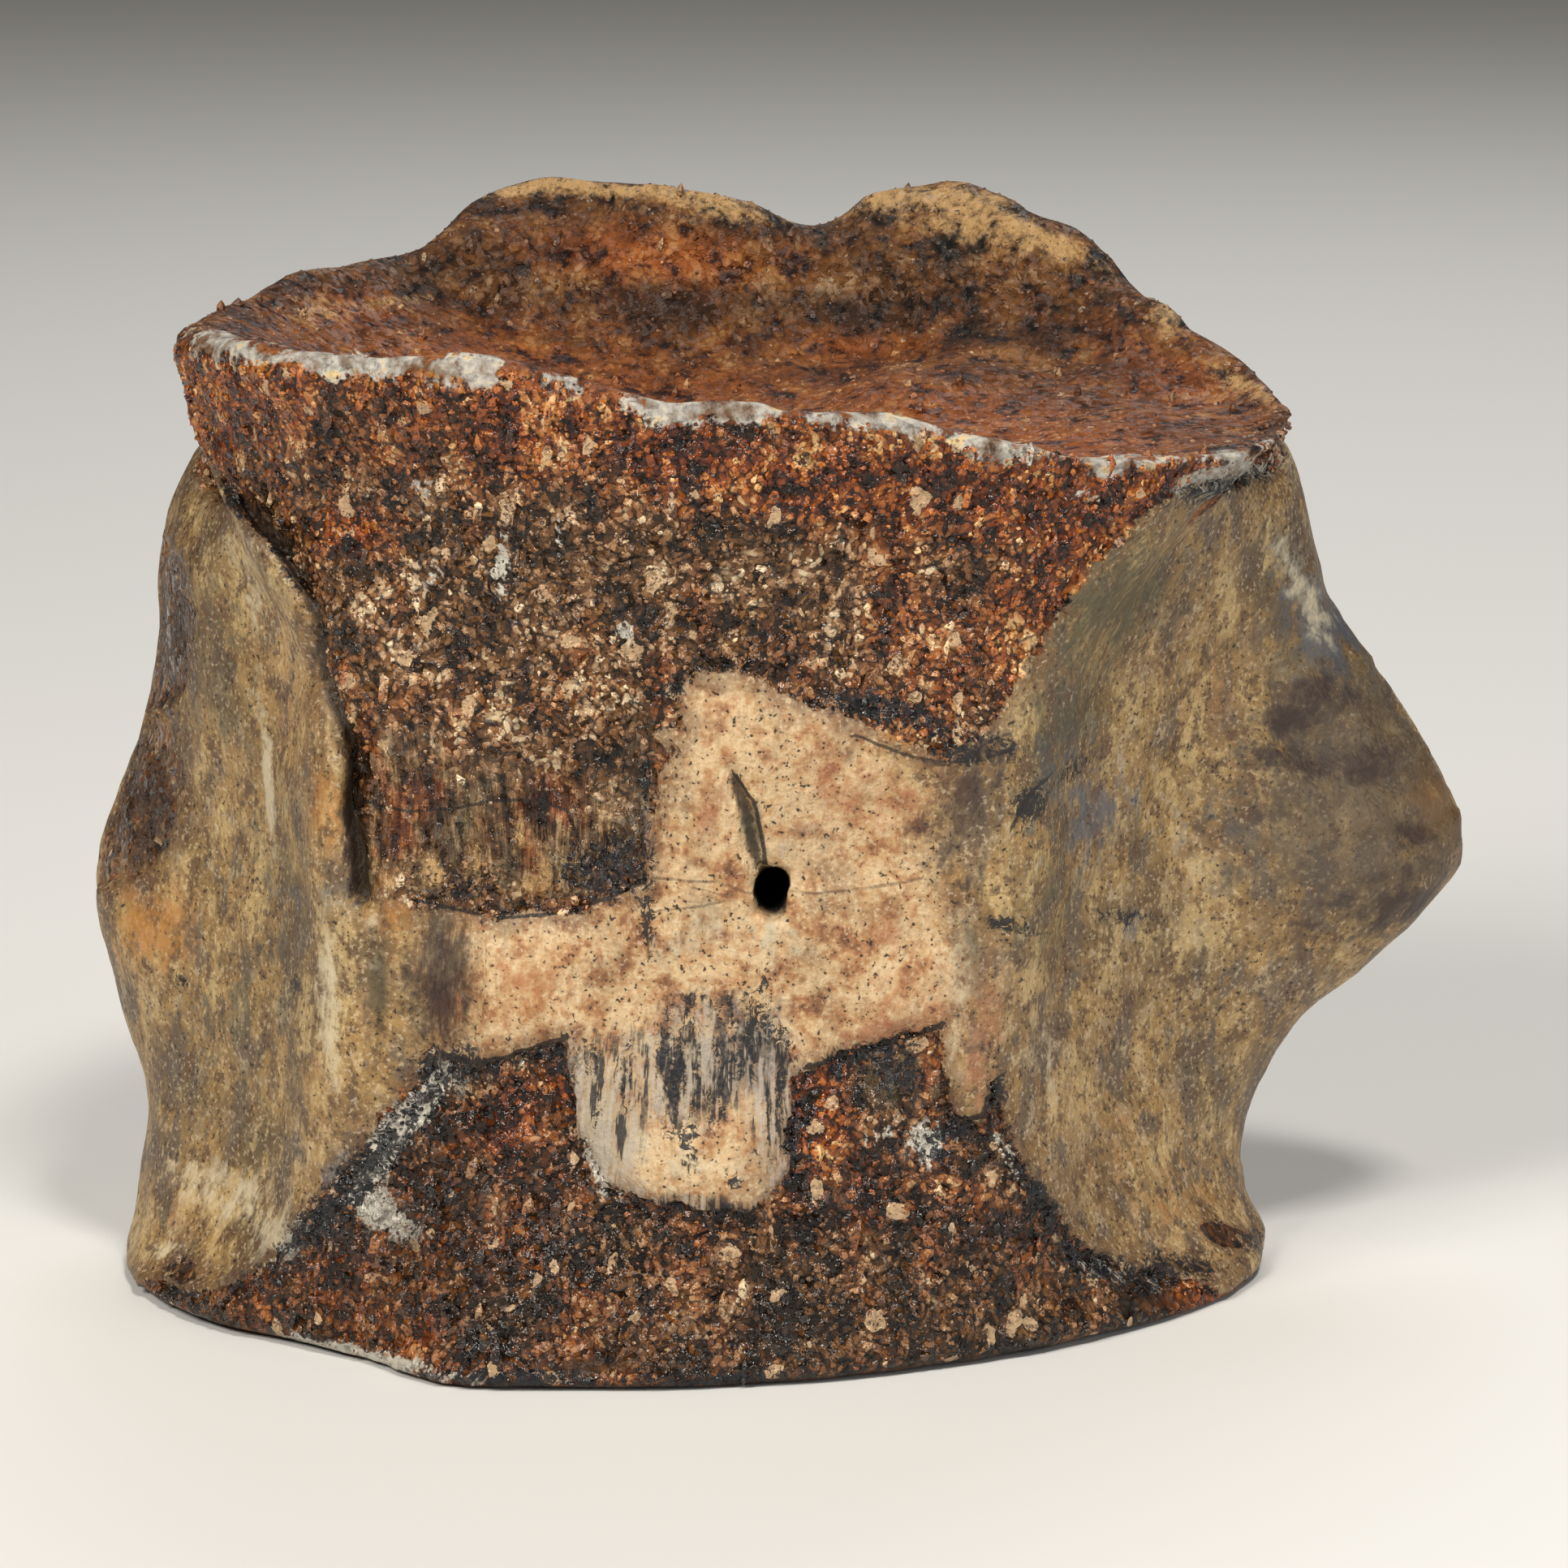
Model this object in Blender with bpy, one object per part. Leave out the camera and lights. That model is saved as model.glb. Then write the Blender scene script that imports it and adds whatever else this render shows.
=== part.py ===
"""Fossil dinosaur vertebra: the worn spool of a tail bone, standing on its rear joint face.

The belly side of the bone faces -Y and the side of the nerve canal faces +Y. +Z runs from the rear
joint face, on which the bone stands, to the front joint face. X runs across the bone, towards the
longer of its two broken side processes. Sizes are in millimetres until the mesh is written.
"""
import math

import bmesh
import bpy
from mathutils import Vector, noise

MM = 0.001
NAME = "vertebra"

# Mesh density: columns round the bone, rings from pole to pole
COLUMNS = 92
RINGS = 54
LOWER_CAP_RINGS = 8
UPPER_CAP_RINGS = 12
FRONT_CROWDING = 0.32   # how much the columns crowd towards the belly side
END_CROWDING = 0.30     # how much the wall's rings crowd towards its two ends

# The centre line leans a little in X, and lies forward of the origin
AXIS_X_LOWER = -4.0
AXIS_X_UPPER = -2.4
AXIS_Y = -1.9
UPPER_LEVEL = 42.0      # mean height of the upper rim
WAIST_LEVEL = 18.0

# Outlines across the bone: (degrees from the belly side, positive towards +X; radius)
LOWER_RIM = [
    (-180, 16.5), (-157, 18.4), (-137, 20.8), (-112, 25.2), (-90, 26.2), (-69, 23.8), (-56, 21.4),
    (-44, 20.6), (-31, 21.4), (-12, 19.6), (5, 18.8), (22, 18.8), (41, 19.6), (60, 21.6), (80, 25.0),
    (95, 26.3), (112, 24.4), (137, 20.8), (157, 18.4),
]
WAIST = [
    (-180, 17.0), (-166, 19.6), (-150, 24.8), (-135, 24.6), (-115, 25.4), (-101, 25.4), (-85, 22.4),
    (-67, 19.8), (-49, 20.5), (-38, 17.6), (-20, 15.4), (0, 14.8), (20, 15.3), (33, 17.0),
    (44, 18.3), (65, 17.6), (84, 20.0), (101, 23.8), (115, 24.4), (135, 24.4), (150, 24.8),
    (166, 19.6),
]
UPPER_RIM = [
    (-180, 20.2), (-166, 21.2), (-154, 24.6), (-140, 24.4), (-115, 24.4), (-90, 24.0), (-75, 23.8),
    (-55, 22.4), (-29, 19.4), (-12, 18.0), (0, 17.6), (14, 17.9), (29, 18.8), (55, 22.4), (75, 25.2),
    (90, 26.4), (105, 26.2), (120, 25.0), (140, 24.4), (154, 24.6), (166, 21.2),
]
UPPER_RIM_HEIGHT = [
    (-180, 42.4), (-150, 43.2), (-125, 43.6), (-108, 42.8), (-90, 43.0), (-72, 43.4), (-50, 43.6),
    (-30, 43.8), (-12, 42.8), (6, 42.0), (25, 41.2), (45, 39.8), (62, 38.6), (80, 38.2),
    (100, 38.9), (120, 41.2), (135, 42.8), (155, 42.8),
]
# How late the wall flares from waist to rim: early on the belly, late on the hollow flanks
FLARE_POWER = [(-180, 2.0), (-100, 2.4), (-68, 3.2), (-44, 2.0), (0, 1.7), (44, 2.0), (68, 3.2),
               (100, 2.4)]

# The two ridges that bound the belly side: near at the waist, and out at the sides by the rims
RIDGE_TURN_WAIST = 46.0
RIDGE_TURN_LOWER = 62.0
RIDGE_TURN_UPPER = 80.0
RIDGE_LEVEL_UPPER = 38.0
RIDGE_POWER = 5.0

# Both joint faces are dished
UPPER_EDGE_ROUND = 1.5
LOWER_EDGE_ROUND = 0.7
UPPER_DISH_FLOOR = 37.4
LOWER_DISH_ROOF = 4.6
LOWER_RIM_INSIDE = 0.9  # the lower dish starts this share of the way out, within a flat rim
DISH_POWER = 2.4
WORN_FLAT = 0.3         # what lies lower than this is worn down to the level of rest
WORN_SMOOTH = 1.6       # weathering fades below this level

# Side processes, and the swellings under the corners of the upper rim: (degrees from the belly
# side, rise above the wall, level of the top, reach downwards, reach upwards, half width in degrees)
PROCESSES = [
    (103, 11.2, 17.8, 6.7, 10.6, 12.5),
    (-104, 3.0, 16.4, 6.0, 7.0, 14.0),
    (98, 1.9, 35.5, 5.0, 5.0, 22.0),
    (-98, 0.8, 33.5, 5.5, 6.5, 24.0),
]

# Crest of the broken nerve arch behind the upper joint face: (x, z)
ARCH_CREST = [
    (-19.0, 42.0), (-16.2, 43.4), (-15.0, 46.0), (-11.5, 47.2), (-5.0, 46.9), (-1.2, 46.0),
    (0.2, 45.0), (2.7, 44.8), (3.6, 46.4), (8.0, 46.6), (12.5, 45.8), (15.2, 44.4), (18.0, 41.5),
]
ARCH_FOOT_Y = 12.4
ARCH_SLOPE = 3.4

# Small knobs and dents of the worn edges: (x, y, z, radius, rise)
KNOBS = [
    (20.6, 4.0, 2.4, 1.6, 0.7),
    (17.4, 11.5, 42.6, 1.5, 1.5),
    (3.5, -11.0, 40.4, 4.0, 1.0),
    (-5.0, -17.5, 43.4, 3.0, -0.9),
]

# The picture plane on which the belly side's markings are drawn: a view from a little above
PICTURE_MIDDLE = 966.0  # pixels, in a square of 1932
PIXELS_PER_MM = 27.8
VIEW_RISE = math.radians(12.0)
VIEW_DISTANCE = 300.0
VIEW_LEVEL = 21.9       # the height at the middle of the picture

# Spongy bone laid bare at the two ends, in pixels of that picture
UPPER_SPONGE = [
    (150, 330), (1700, 330), (1640, 560), (1500, 605), (1430, 655), (1370, 705), (1300, 800),
    (1245, 895), (1180, 930), (1060, 880), (940, 835), (835, 850), (800, 960), (790, 1085),
    (700, 1128), (590, 1125), (470, 1090), (430, 980), (400, 820), (340, 680), (235, 575),
    (150, 560),
]
LOWER_SPONGE = [
    (230, 1800), (300, 1640), (390, 1500), (490, 1370), (560, 1300), (690, 1283), (715, 1390),
    (790, 1475), (930, 1490), (970, 1410), (1000, 1305), (1120, 1275), (1160, 1290), (1190, 1375),
    (1232, 1340), (1290, 1480), (1360, 1545), (1520, 1600), (1640, 1640), (1640, 1800),
]
SPONGE_DEPTH = 0.55
SPONGE_EDGE = 0.5       # half the width of the ledge round it

# Crevice along the edge of the left flank, in pixels of the picture
FLANK_CREVICE = [(300, 615), (350, 672), (386, 760), (400, 850), (434, 950), (438, 1100)]
CREVICE_DEPTH = 1.0
CREVICE_HALF_WIDTH = 0.7

# Blood vessel hole on the belly side
HOLE_X, HOLE_Z = -0.54, 20.7
HOLE_HALF_WIDTH, HOLE_HALF_HEIGHT = 0.88, 1.13
HOLE_FLOOR_SHARE = 0.7  # size of its floor against its mouth
HOLE_FLOOR_Y, HOLE_MOUTH_Y = -11.0, -21.0
HOLE_SIDES = 16

# Weathering: (size of the lumps, how far they rise)
LUMPS = (6.0, 0.55)
GRIT = (1.8, 0.25)
SPONGE_GRIT = (1.5, 0.45)

BONE_COLOUR = (0.42, 0.27, 0.14, 1.0)
BONE_ROUGHNESS = 0.6


def smooth_step(low, high, value):
    """0 below low, 1 above high, and a smooth rise between."""
    share = min(max((value - low) / (high - low), 0.0), 1.0)
    return share * share * (3 - 2 * share)


def round_outline(knots, degrees):
    """The value of a closed outline at an angle, on a smooth curve through its knots."""
    count = len(knots)
    turn = (degrees + 180) % 360 - 180
    index = max(i for i in range(count) if knots[i][0] <= turn)

    def knot(offset):
        turns, place = divmod(index + offset, count)
        return knots[place][0] + 360 * turns, knots[place][1]

    (a0, r0), (a1, r1), (a2, r2), (a3, r3) = (knot(k) for k in (-1, 0, 1, 2))
    share = (turn - a1) / (a2 - a1)
    slope_1 = (r2 - r0) / (a2 - a0) * (a2 - a1)
    slope_2 = (r3 - r1) / (a3 - a1) * (a2 - a1)
    square = share * share
    cube = square * share
    return (
        r1 * (2 * cube - 3 * square + 1) + slope_1 * (cube - 2 * square + share)
        + r2 * (3 * square - 2 * cube) + slope_2 * (cube - square)
    )


def crest_height(x):
    """Height of the broken arch's crest, straight between its points."""
    if x <= ARCH_CREST[0][0]:
        return ARCH_CREST[0][1]
    for (x0, z0), (x1, z1) in zip(ARCH_CREST, ARCH_CREST[1:]):
        if x <= x1:
            return z0 + (z1 - z0) * (x - x0) / (x1 - x0)
    return ARCH_CREST[-1][1]


def axis_x(height):
    """X of the leaning centre line."""
    return AXIS_X_LOWER + (AXIS_X_UPPER - AXIS_X_LOWER) * height / UPPER_LEVEL


def ridge_swing(degrees, height):
    """The angle of a column at a height: columns swing out with the ridges towards the rims."""
    if height > WAIST_LEVEL:
        ridge_at_rim, reach = RIDGE_TURN_UPPER, RIDGE_LEVEL_UPPER - WAIST_LEVEL
    else:
        ridge_at_rim, reach = RIDGE_TURN_LOWER, WAIST_LEVEL
    share = min(abs(height - WAIST_LEVEL) / reach, 1.0)
    ridge = RIDGE_TURN_WAIST + (ridge_at_rim - RIDGE_TURN_WAIST) * share ** RIDGE_POWER
    turn = abs(degrees)
    if turn < RIDGE_TURN_WAIST:
        turn *= ridge / RIDGE_TURN_WAIST
    else:
        turn = 180 - (180 - turn) * (180 - ridge) / (180 - RIDGE_TURN_WAIST)
    return math.copysign(turn, degrees)


def wall_radius(column, height):
    """Distance of the wall from the centre line, along a column named by its angle at the waist."""
    degrees = ridge_swing(column, height)
    waist = round_outline(WAIST, column)
    if height > WAIST_LEVEL:
        rim = round_outline(UPPER_RIM, degrees)
        share = (height - WAIST_LEVEL) / (UPPER_LEVEL - WAIST_LEVEL)
    else:
        rim = round_outline(LOWER_RIM, degrees)
        share = (WAIST_LEVEL - height) / WAIST_LEVEL
    power = round_outline(FLARE_POWER, column)
    radius = waist + (rim - waist) * min(share, 1.0) ** power
    for angle, rise, level, reach_down, reach_up, half_width in PROCESSES:
        reach = reach_up if height > level else reach_down
        turn = (degrees - angle + 180) % 360 - 180
        radius += rise * math.exp(-((height - level) / reach) ** 2 - abs(turn / half_width) ** 3)
    return radius


def upper_face(degrees, share):
    """Height of the upper joint face at a share of the way from its middle to the rim."""
    rim = round_outline(UPPER_RIM_HEIGHT, degrees)
    return UPPER_DISH_FLOOR + (rim - UPPER_DISH_FLOOR) * share ** DISH_POWER


def wall_point(column, share):
    """Radius and height of the wall, at a share of the way from the lower rim to the upper."""
    top = round_outline(UPPER_RIM_HEIGHT, ridge_swing(column, UPPER_LEVEL))
    height = top * share
    radius = wall_radius(column, height)
    for gap, edge in ((height, LOWER_EDGE_ROUND), (top - height, UPPER_EDGE_ROUND)):
        if gap < edge:
            radius -= edge * (1 - math.sqrt(1 - (1 - gap / edge) ** 2))
    return radius, height


def bone_point(column, station):
    """A point of the surface: station runs from 0, the lower pole, to 1, the upper pole."""
    lower_cap, upper_cap = LOWER_CAP_RINGS / RINGS, 1 - UPPER_CAP_RINGS / RINGS
    if station < lower_cap:
        degrees = ridge_swing(column, 0.0)
        share = station / lower_cap
        radius = (wall_radius(column, 0.0) - LOWER_EDGE_ROUND) * share
        height = LOWER_DISH_ROOF * (1 - min(share / LOWER_RIM_INSIDE, 1.0) ** DISH_POWER)
    elif station > upper_cap:
        degrees = ridge_swing(column, UPPER_LEVEL)
        share = (1 - station) / (1 - upper_cap)
        radius = (wall_radius(column, UPPER_LEVEL) - UPPER_EDGE_ROUND) * share
        height = upper_face(degrees, share)
    else:
        even = (station - lower_cap) / (upper_cap - lower_cap)
        share = even - END_CROWDING * math.sin(2 * math.pi * even) / (2 * math.pi)
        radius, height = wall_point(column, share)
        degrees = ridge_swing(column, height)
    radians = math.radians(degrees)
    x = axis_x(height) + radius * math.sin(radians)
    y = AXIS_Y - radius * math.cos(radians)
    if station > 0.5:
        behind = smooth_step(ARCH_FOOT_Y, ARCH_FOOT_Y + ARCH_SLOPE, y)
        near_top = smooth_step(WAIST_LEVEL, UPPER_LEVEL, height)
        rim = round_outline(UPPER_RIM_HEIGHT, degrees)
        height += max(crest_height(x) - rim, 0.0) * behind * near_top
    return Vector((x, y, height))


def picture_point(point):
    """Where a point of the bone shows in the picture, in pixels."""
    height = point.z - VIEW_LEVEL
    up = height * math.cos(VIEW_RISE) + point.y * math.sin(VIEW_RISE)
    away = point.y * math.cos(VIEW_RISE) - height * math.sin(VIEW_RISE)
    scale = PIXELS_PER_MM * VIEW_DISTANCE / (VIEW_DISTANCE + away)
    return PICTURE_MIDDLE + point.x * scale, PICTURE_MIDDLE - up * scale


def distance_to_line(spot, points):
    """Distance from a spot of the picture to a line of points, in millimetres."""
    best = math.inf
    for (x0, y0), (x1, y1) in zip(points, points[1:]):
        run = (x1 - x0) ** 2 + (y1 - y0) ** 2
        share = ((spot[0] - x0) * (x1 - x0) + (spot[1] - y0) * (y1 - y0)) / run
        share = min(max(share, 0.0), 1.0)
        gap = math.hypot(spot[0] - x0 - share * (x1 - x0), spot[1] - y0 - share * (y1 - y0))
        best = min(best, gap)
    return best / PIXELS_PER_MM


def depth_inside(spot, outline):
    """How far a spot lies inside an outline of the picture, in millimetres; negative outside."""
    closed = outline + outline[:1]
    inside = False
    for (x0, y0), (x1, y1) in zip(closed, closed[1:]):
        if (y0 > spot[1]) != (y1 > spot[1]):
            if spot[0] < x0 + (x1 - x0) * (spot[1] - y0) / (y1 - y0):
                inside = not inside
    gap = distance_to_line(spot, closed)
    return gap if inside else -gap


def belly_relief(point, normal):
    """Rise of the belly side's ledges and crevice, and how spongy the bone is there."""
    facing = smooth_step(0.05, 0.3, -normal.y)
    spot = picture_point(point)
    inside = max(depth_inside(spot, UPPER_SPONGE), depth_inside(spot, LOWER_SPONGE))
    sponge = facing * smooth_step(-SPONGE_EDGE, SPONGE_EDGE, inside)
    crevice = distance_to_line(spot, FLANK_CREVICE) / CREVICE_HALF_WIDTH
    rise = -SPONGE_DEPTH * sponge - facing * CREVICE_DEPTH * math.exp(-crevice ** 2)
    return rise, sponge


def weathering(point, sponge):
    """Rise of the lumps and the grit."""
    grit_size, grit_height = GRIT
    sponge_size, sponge_height = SPONGE_GRIT
    rise = noise.noise(point / LUMPS[0]) * LUMPS[1]
    rise += noise.noise(point / grit_size) * grit_height * (1 - sponge)
    rise += noise.noise(point / sponge_size) * sponge_height * sponge
    return rise


def knob_rise(point):
    """Rise of the knobs and dents near a point."""
    rise = 0.0
    for x, y, z, radius, height in KNOBS:
        gap = (point - Vector((x, y, z))).length / radius
        rise += height * math.exp(-gap * gap)
    return rise


def build_bone_mesh():
    """A sphere's grid of vertices, moved ring by ring onto the bone, then weathered."""
    mesh = bmesh.new()
    bmesh.ops.create_uvsphere(mesh, u_segments=COLUMNS, v_segments=RINGS, radius=1.0)
    for vertex in mesh.verts:
        place = vertex.co.normalized()
        even_turn = math.atan2(place.x, -place.y)
        turn = even_turn - FRONT_CROWDING * math.sin(even_turn)
        station = 0.5 + math.asin(max(-1.0, min(1.0, place.z))) / math.pi
        vertex.co = bone_point(math.degrees(turn), station)
    mesh.normal_update()
    normals = [vertex.normal.copy() for vertex in mesh.verts]
    for vertex, normal in zip(mesh.verts, normals):
        rise, sponge = belly_relief(vertex.co, normal)
        rise += weathering(vertex.co, sponge) + knob_rise(vertex.co)
        rise *= smooth_step(-WORN_FLAT, WORN_SMOOTH, vertex.co.z)
        vertex.co += normal * rise
        if vertex.co.z < WORN_FLAT:
            vertex.co.z = 0.0
        vertex.co *= MM
    data = bpy.data.meshes.new(NAME)
    mesh.to_mesh(data)
    mesh.free()
    return data


def bone_material():
    """Tan fossil bone, a little shiny."""
    material = bpy.data.materials.new("fossil_bone")
    material.use_nodes = True
    shader = material.node_tree.nodes["Principled BSDF"]
    shader.inputs["Base Color"].default_value = BONE_COLOUR
    shader.inputs["Roughness"].default_value = BONE_ROUGHNESS
    return material


def hole_cutter(collection):
    """A tapering rod, lying along Y, that bores the blood vessel's hole."""
    mesh = bmesh.new()
    bmesh.ops.create_cone(
        mesh, cap_ends=True, segments=HOLE_SIDES, radius1=HOLE_FLOOR_SHARE * MM, radius2=MM,
        depth=(HOLE_FLOOR_Y - HOLE_MOUTH_Y) * MM,
    )
    for vertex in mesh.verts:
        across, up, along = vertex.co
        vertex.co = Vector((across * HOLE_HALF_WIDTH, -along, up * HOLE_HALF_HEIGHT))
    data = bpy.data.meshes.new("vessel_hole_cutter")
    mesh.to_mesh(data)
    mesh.free()
    cutter = bpy.data.objects.new("vessel_hole_cutter", data)
    cutter.location = Vector((HOLE_X, (HOLE_FLOOR_Y + HOLE_MOUTH_Y) / 2, HOLE_Z)) * MM
    cutter.hide_render = True
    cutter.display_type = "WIRE"
    collection.objects.link(cutter)
    return cutter


def add_collection(name):
    """A new collection in the scene."""
    collection = bpy.data.collections.new(name)
    bpy.context.scene.collection.children.link(collection)
    return collection


def main():
    for old in list(bpy.data.objects):
        bpy.data.objects.remove(old)
    bone = bpy.data.objects.new(NAME, build_bone_mesh())
    bone.data.materials.append(bone_material())
    bone.data.shade_smooth()
    add_collection("fossil_vertebra").objects.link(bone)
    cut = bone.modifiers.new("vessel_hole", "BOOLEAN")
    cut.operation = "DIFFERENCE"
    cut.object = hole_cutter(add_collection("cutters"))


main()
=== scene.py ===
# %% [markdown]
# # A fossil dinosaur vertebra
# The real object is one tail bone of a small dinosaur, about 62 mm across. Its smooth outer bone, the
# cortex, has worn away near both ends and lays bare the spongy bone inside, which glitters with crystals.
# This lesson starts from a plain solid of the bone, sculpts the fine relief into a dense copy of it in
# code, scatters loose grains with Geometry Nodes, and paints it all with one procedural material.

# %% Load the solid that everything is measured against
import math

import bmesh
import bpy
import numpy as np
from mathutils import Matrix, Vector, noise


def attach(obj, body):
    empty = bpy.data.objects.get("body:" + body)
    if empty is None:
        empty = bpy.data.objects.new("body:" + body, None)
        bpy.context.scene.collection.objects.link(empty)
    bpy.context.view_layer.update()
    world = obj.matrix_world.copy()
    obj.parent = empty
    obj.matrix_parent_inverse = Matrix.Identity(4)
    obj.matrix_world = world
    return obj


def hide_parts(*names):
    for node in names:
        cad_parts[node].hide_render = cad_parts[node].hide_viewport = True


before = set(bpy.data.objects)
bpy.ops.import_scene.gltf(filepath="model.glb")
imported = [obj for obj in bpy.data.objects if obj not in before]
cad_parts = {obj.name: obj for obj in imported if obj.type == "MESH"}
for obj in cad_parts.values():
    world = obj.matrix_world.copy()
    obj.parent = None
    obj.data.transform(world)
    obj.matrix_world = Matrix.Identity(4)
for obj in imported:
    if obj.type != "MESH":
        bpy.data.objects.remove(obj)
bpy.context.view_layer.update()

MM = 0.001
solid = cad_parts["vertebra"]

# %% [markdown]
# ## A denser copy of the bone
# The solid arrives as loose triangles, so its corners are merged first. Pairs of triangles then become
# quads, because a subdivision surface stays even on quads and puckers on triangles. Remeshing into
# voxels would also work, but it would lose the columns that run along the bone's ridges.

# %% Merge, make quads, subdivide
SMOOTH_LEVELS = 2
MERGE_WITHIN = 0.01 * MM
BEND_LIMIT, SKEW_LIMIT = math.radians(50), math.radians(70)


def dense_copy(source, name):
    """A merged copy of a mesh, in quads, subdivided and made plain."""
    cage = bmesh.new()
    cage.from_mesh(source.data)
    bmesh.ops.remove_doubles(cage, verts=cage.verts, dist=MERGE_WITHIN)
    bmesh.ops.join_triangles(
        cage, faces=cage.faces, angle_face_threshold=BEND_LIMIT,
        angle_shape_threshold=SKEW_LIMIT, cmp_seam=False, cmp_sharp=False,
        cmp_uvs=False, cmp_vcols=False, cmp_materials=False,
    )
    mesh = bpy.data.meshes.new(name)
    cage.to_mesh(mesh)
    cage.free()
    piece = bpy.data.objects.new(name, mesh)
    bpy.context.collection.objects.link(piece)
    smooth = piece.modifiers.new("smooth", "SUBSURF")
    smooth.levels = smooth.render_levels = SMOOTH_LEVELS
    seen = piece.evaluated_get(bpy.context.evaluated_depsgraph_get())
    piece.data = bpy.data.meshes.new_from_object(seen)
    piece.data.name = name
    piece.modifiers.remove(piece.modifiers["smooth"])
    return piece


bone = dense_copy(solid, "fossil_bone")
print("dense bone:", len(bone.data.vertices), "points,", len(bone.data.polygons), "faces")

# %% [markdown]
# ## Points and normals as tables of numbers
# The relief is worked out for all points at once with numpy, in millimetres. That is far quicker than
# one point at a time, and a depth of 0.5 then simply means half a millimetre.

# %% Read the mesh into arrays


def read_points(mesh):
    """The mesh's points, in millimetres."""
    flat = np.empty(len(mesh.vertices) * 3)
    mesh.vertices.foreach_get("co", flat)
    return flat.reshape(-1, 3) / MM


def read_normals(mesh):
    """The normals at the mesh's points."""
    flat = np.empty(len(mesh.vertices) * 3)
    mesh.vertices.foreach_get("normal", flat)
    return flat.reshape(-1, 3)


def write_points(mesh, points):
    """Puts points in millimetres back into the mesh."""
    mesh.vertices.foreach_set("co", (points * MM).ravel())
    mesh.update()


points = read_points(bone.data)
normals = read_normals(bone.data)
print("from", points.min(axis=0).round(1), "to", points.max(axis=0).round(1), "mm")

# %% [markdown]
# ## Drawing on the bone
# The belly side is seen straight on, from a little above. Its markings are drawn as outlines and lines
# in that view, in pixels of a square picture 1932 wide. Each point of the bone is projected into the
# same view, and its distance to a drawn line says how it is carved and stained.

# %% The view in which the markings are drawn
PICTURE_MIDDLE = 966.0
PIXELS_PER_MM = 27.8
VIEW_RISE = math.radians(12.0)
VIEW_DISTANCE = 300.0
VIEW_LEVEL = 21.9


def picture_spots(places):
    """Where places in millimetres show in the picture, in pixels."""
    height = places[:, 2] - VIEW_LEVEL
    up = height * math.cos(VIEW_RISE) + places[:, 1] * math.sin(VIEW_RISE)
    away = places[:, 1] * math.cos(VIEW_RISE) - height * math.sin(VIEW_RISE)
    scale = PIXELS_PER_MM * VIEW_DISTANCE / (VIEW_DISTANCE + away)
    return np.column_stack([PICTURE_MIDDLE + places[:, 0] * scale, PICTURE_MIDDLE - up * scale])


def smooth_step(low, high, value):
    """0 below low, 1 above high, and a smooth rise between."""
    share = np.clip((value - low) / (high - low), 0.0, 1.0)
    return share * share * (3 - 2 * share)


spots = picture_spots(points)
towards_view = np.array([0.0, -math.cos(VIEW_RISE), math.sin(VIEW_RISE)])
seen = smooth_step(-0.02, 0.14, normals @ towards_view)
print("points that face the view:", int((seen > 0.5).sum()))

# %% Distance to a drawn line, and depth inside a drawn outline


def line_gap(line):
    """Distance of every point from a drawn line, in mm, and on which side of it the point lies."""
    gap = np.full(len(spots), np.inf)
    side = np.ones(len(spots))
    for start, end in zip(line, line[1:]):
        start, run = np.array(start, float), np.subtract(end, start)
        reach = spots - start
        share = np.clip(reach @ run / (run @ run), 0.0, 1.0)
        here = np.linalg.norm(reach - share[:, None] * run, axis=1)
        nearer = here < gap
        gap[nearer] = here[nearer]
        side[nearer] = np.sign(run[0] * reach[:, 1] - run[1] * reach[:, 0])[nearer]
    return gap / PIXELS_PER_MM, side


def outline_depth(outline):
    """How far every point lies inside a drawn outline, in mm; negative outside."""
    closed = outline + outline[:1]
    inside = np.zeros(len(spots), bool)
    for (x0, y0), (x1, y1) in zip(closed, closed[1:]):
        if y0 != y1:
            crosses = (y0 > spots[:, 1]) != (y1 > spots[:, 1])
            inside ^= crosses & (spots[:, 0] < x0 + (x1 - x0) * (spots[:, 1] - y0) / (y1 - y0))
    gap, _ = line_gap(closed)
    return np.where(inside, gap, -gap)


def grit(size, seed, stretch=(1.0, 1.0, 1.0), places=None):
    """Smooth noise of about -1 to 1 at every point, with lumps of a size in mm."""
    table = (points if places is None else places) / (size * np.array(stretch)) + seed * 17.3
    return np.array([noise.noise(Vector(row)) for row in table])


def cells(size, seed):
    """Distance to the nearest of scattered seeds, at every point: 0 on a seed, about 1 between."""
    table = points / size + seed * 17.3
    return np.array([noise.voronoi(Vector(row))[0][0] for row in table])


# %% [markdown]
# ## Spongy bone laid bare
# The cortex breaks off in a ragged ledge where the spongy bone begins. The solid has that ledge as a
# soft slope, because its triangles are coarse. Here the slope is swapped for a steep one by moving each
# point by the difference of the two.

# %% The two spongy zones
UPPER_SPONGE = [
    (150, 150), (1700, 150), (1640, 560), (1591, 569), (1522, 595), (1461, 603), (1418, 629), (1384, 664),
    (1349, 690), (1323, 733), (1297, 767), (1271, 810), (1237, 871), (1205, 915), (1159, 931),
    (1107, 914), (1064, 888), (1012, 871), (952, 845), (900, 833), (850, 838), (838, 855), (842, 885),
    (816, 905), (828, 930), (800, 952), (809, 985), (790, 1010), (806, 1040), (790, 1062), (800, 1085),
    (787, 1087), (754, 1105), (713, 1120), (664, 1128), (615, 1132), (591, 1123), (546, 1122),
    (513, 1118), (470, 1100), (445, 1060), (435, 965), (423, 916), (411, 883), (394, 834), (382, 785),
    (386, 744), (370, 703), (345, 663), (296, 630), (255, 597), (227, 564), (150, 560),
]
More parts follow.
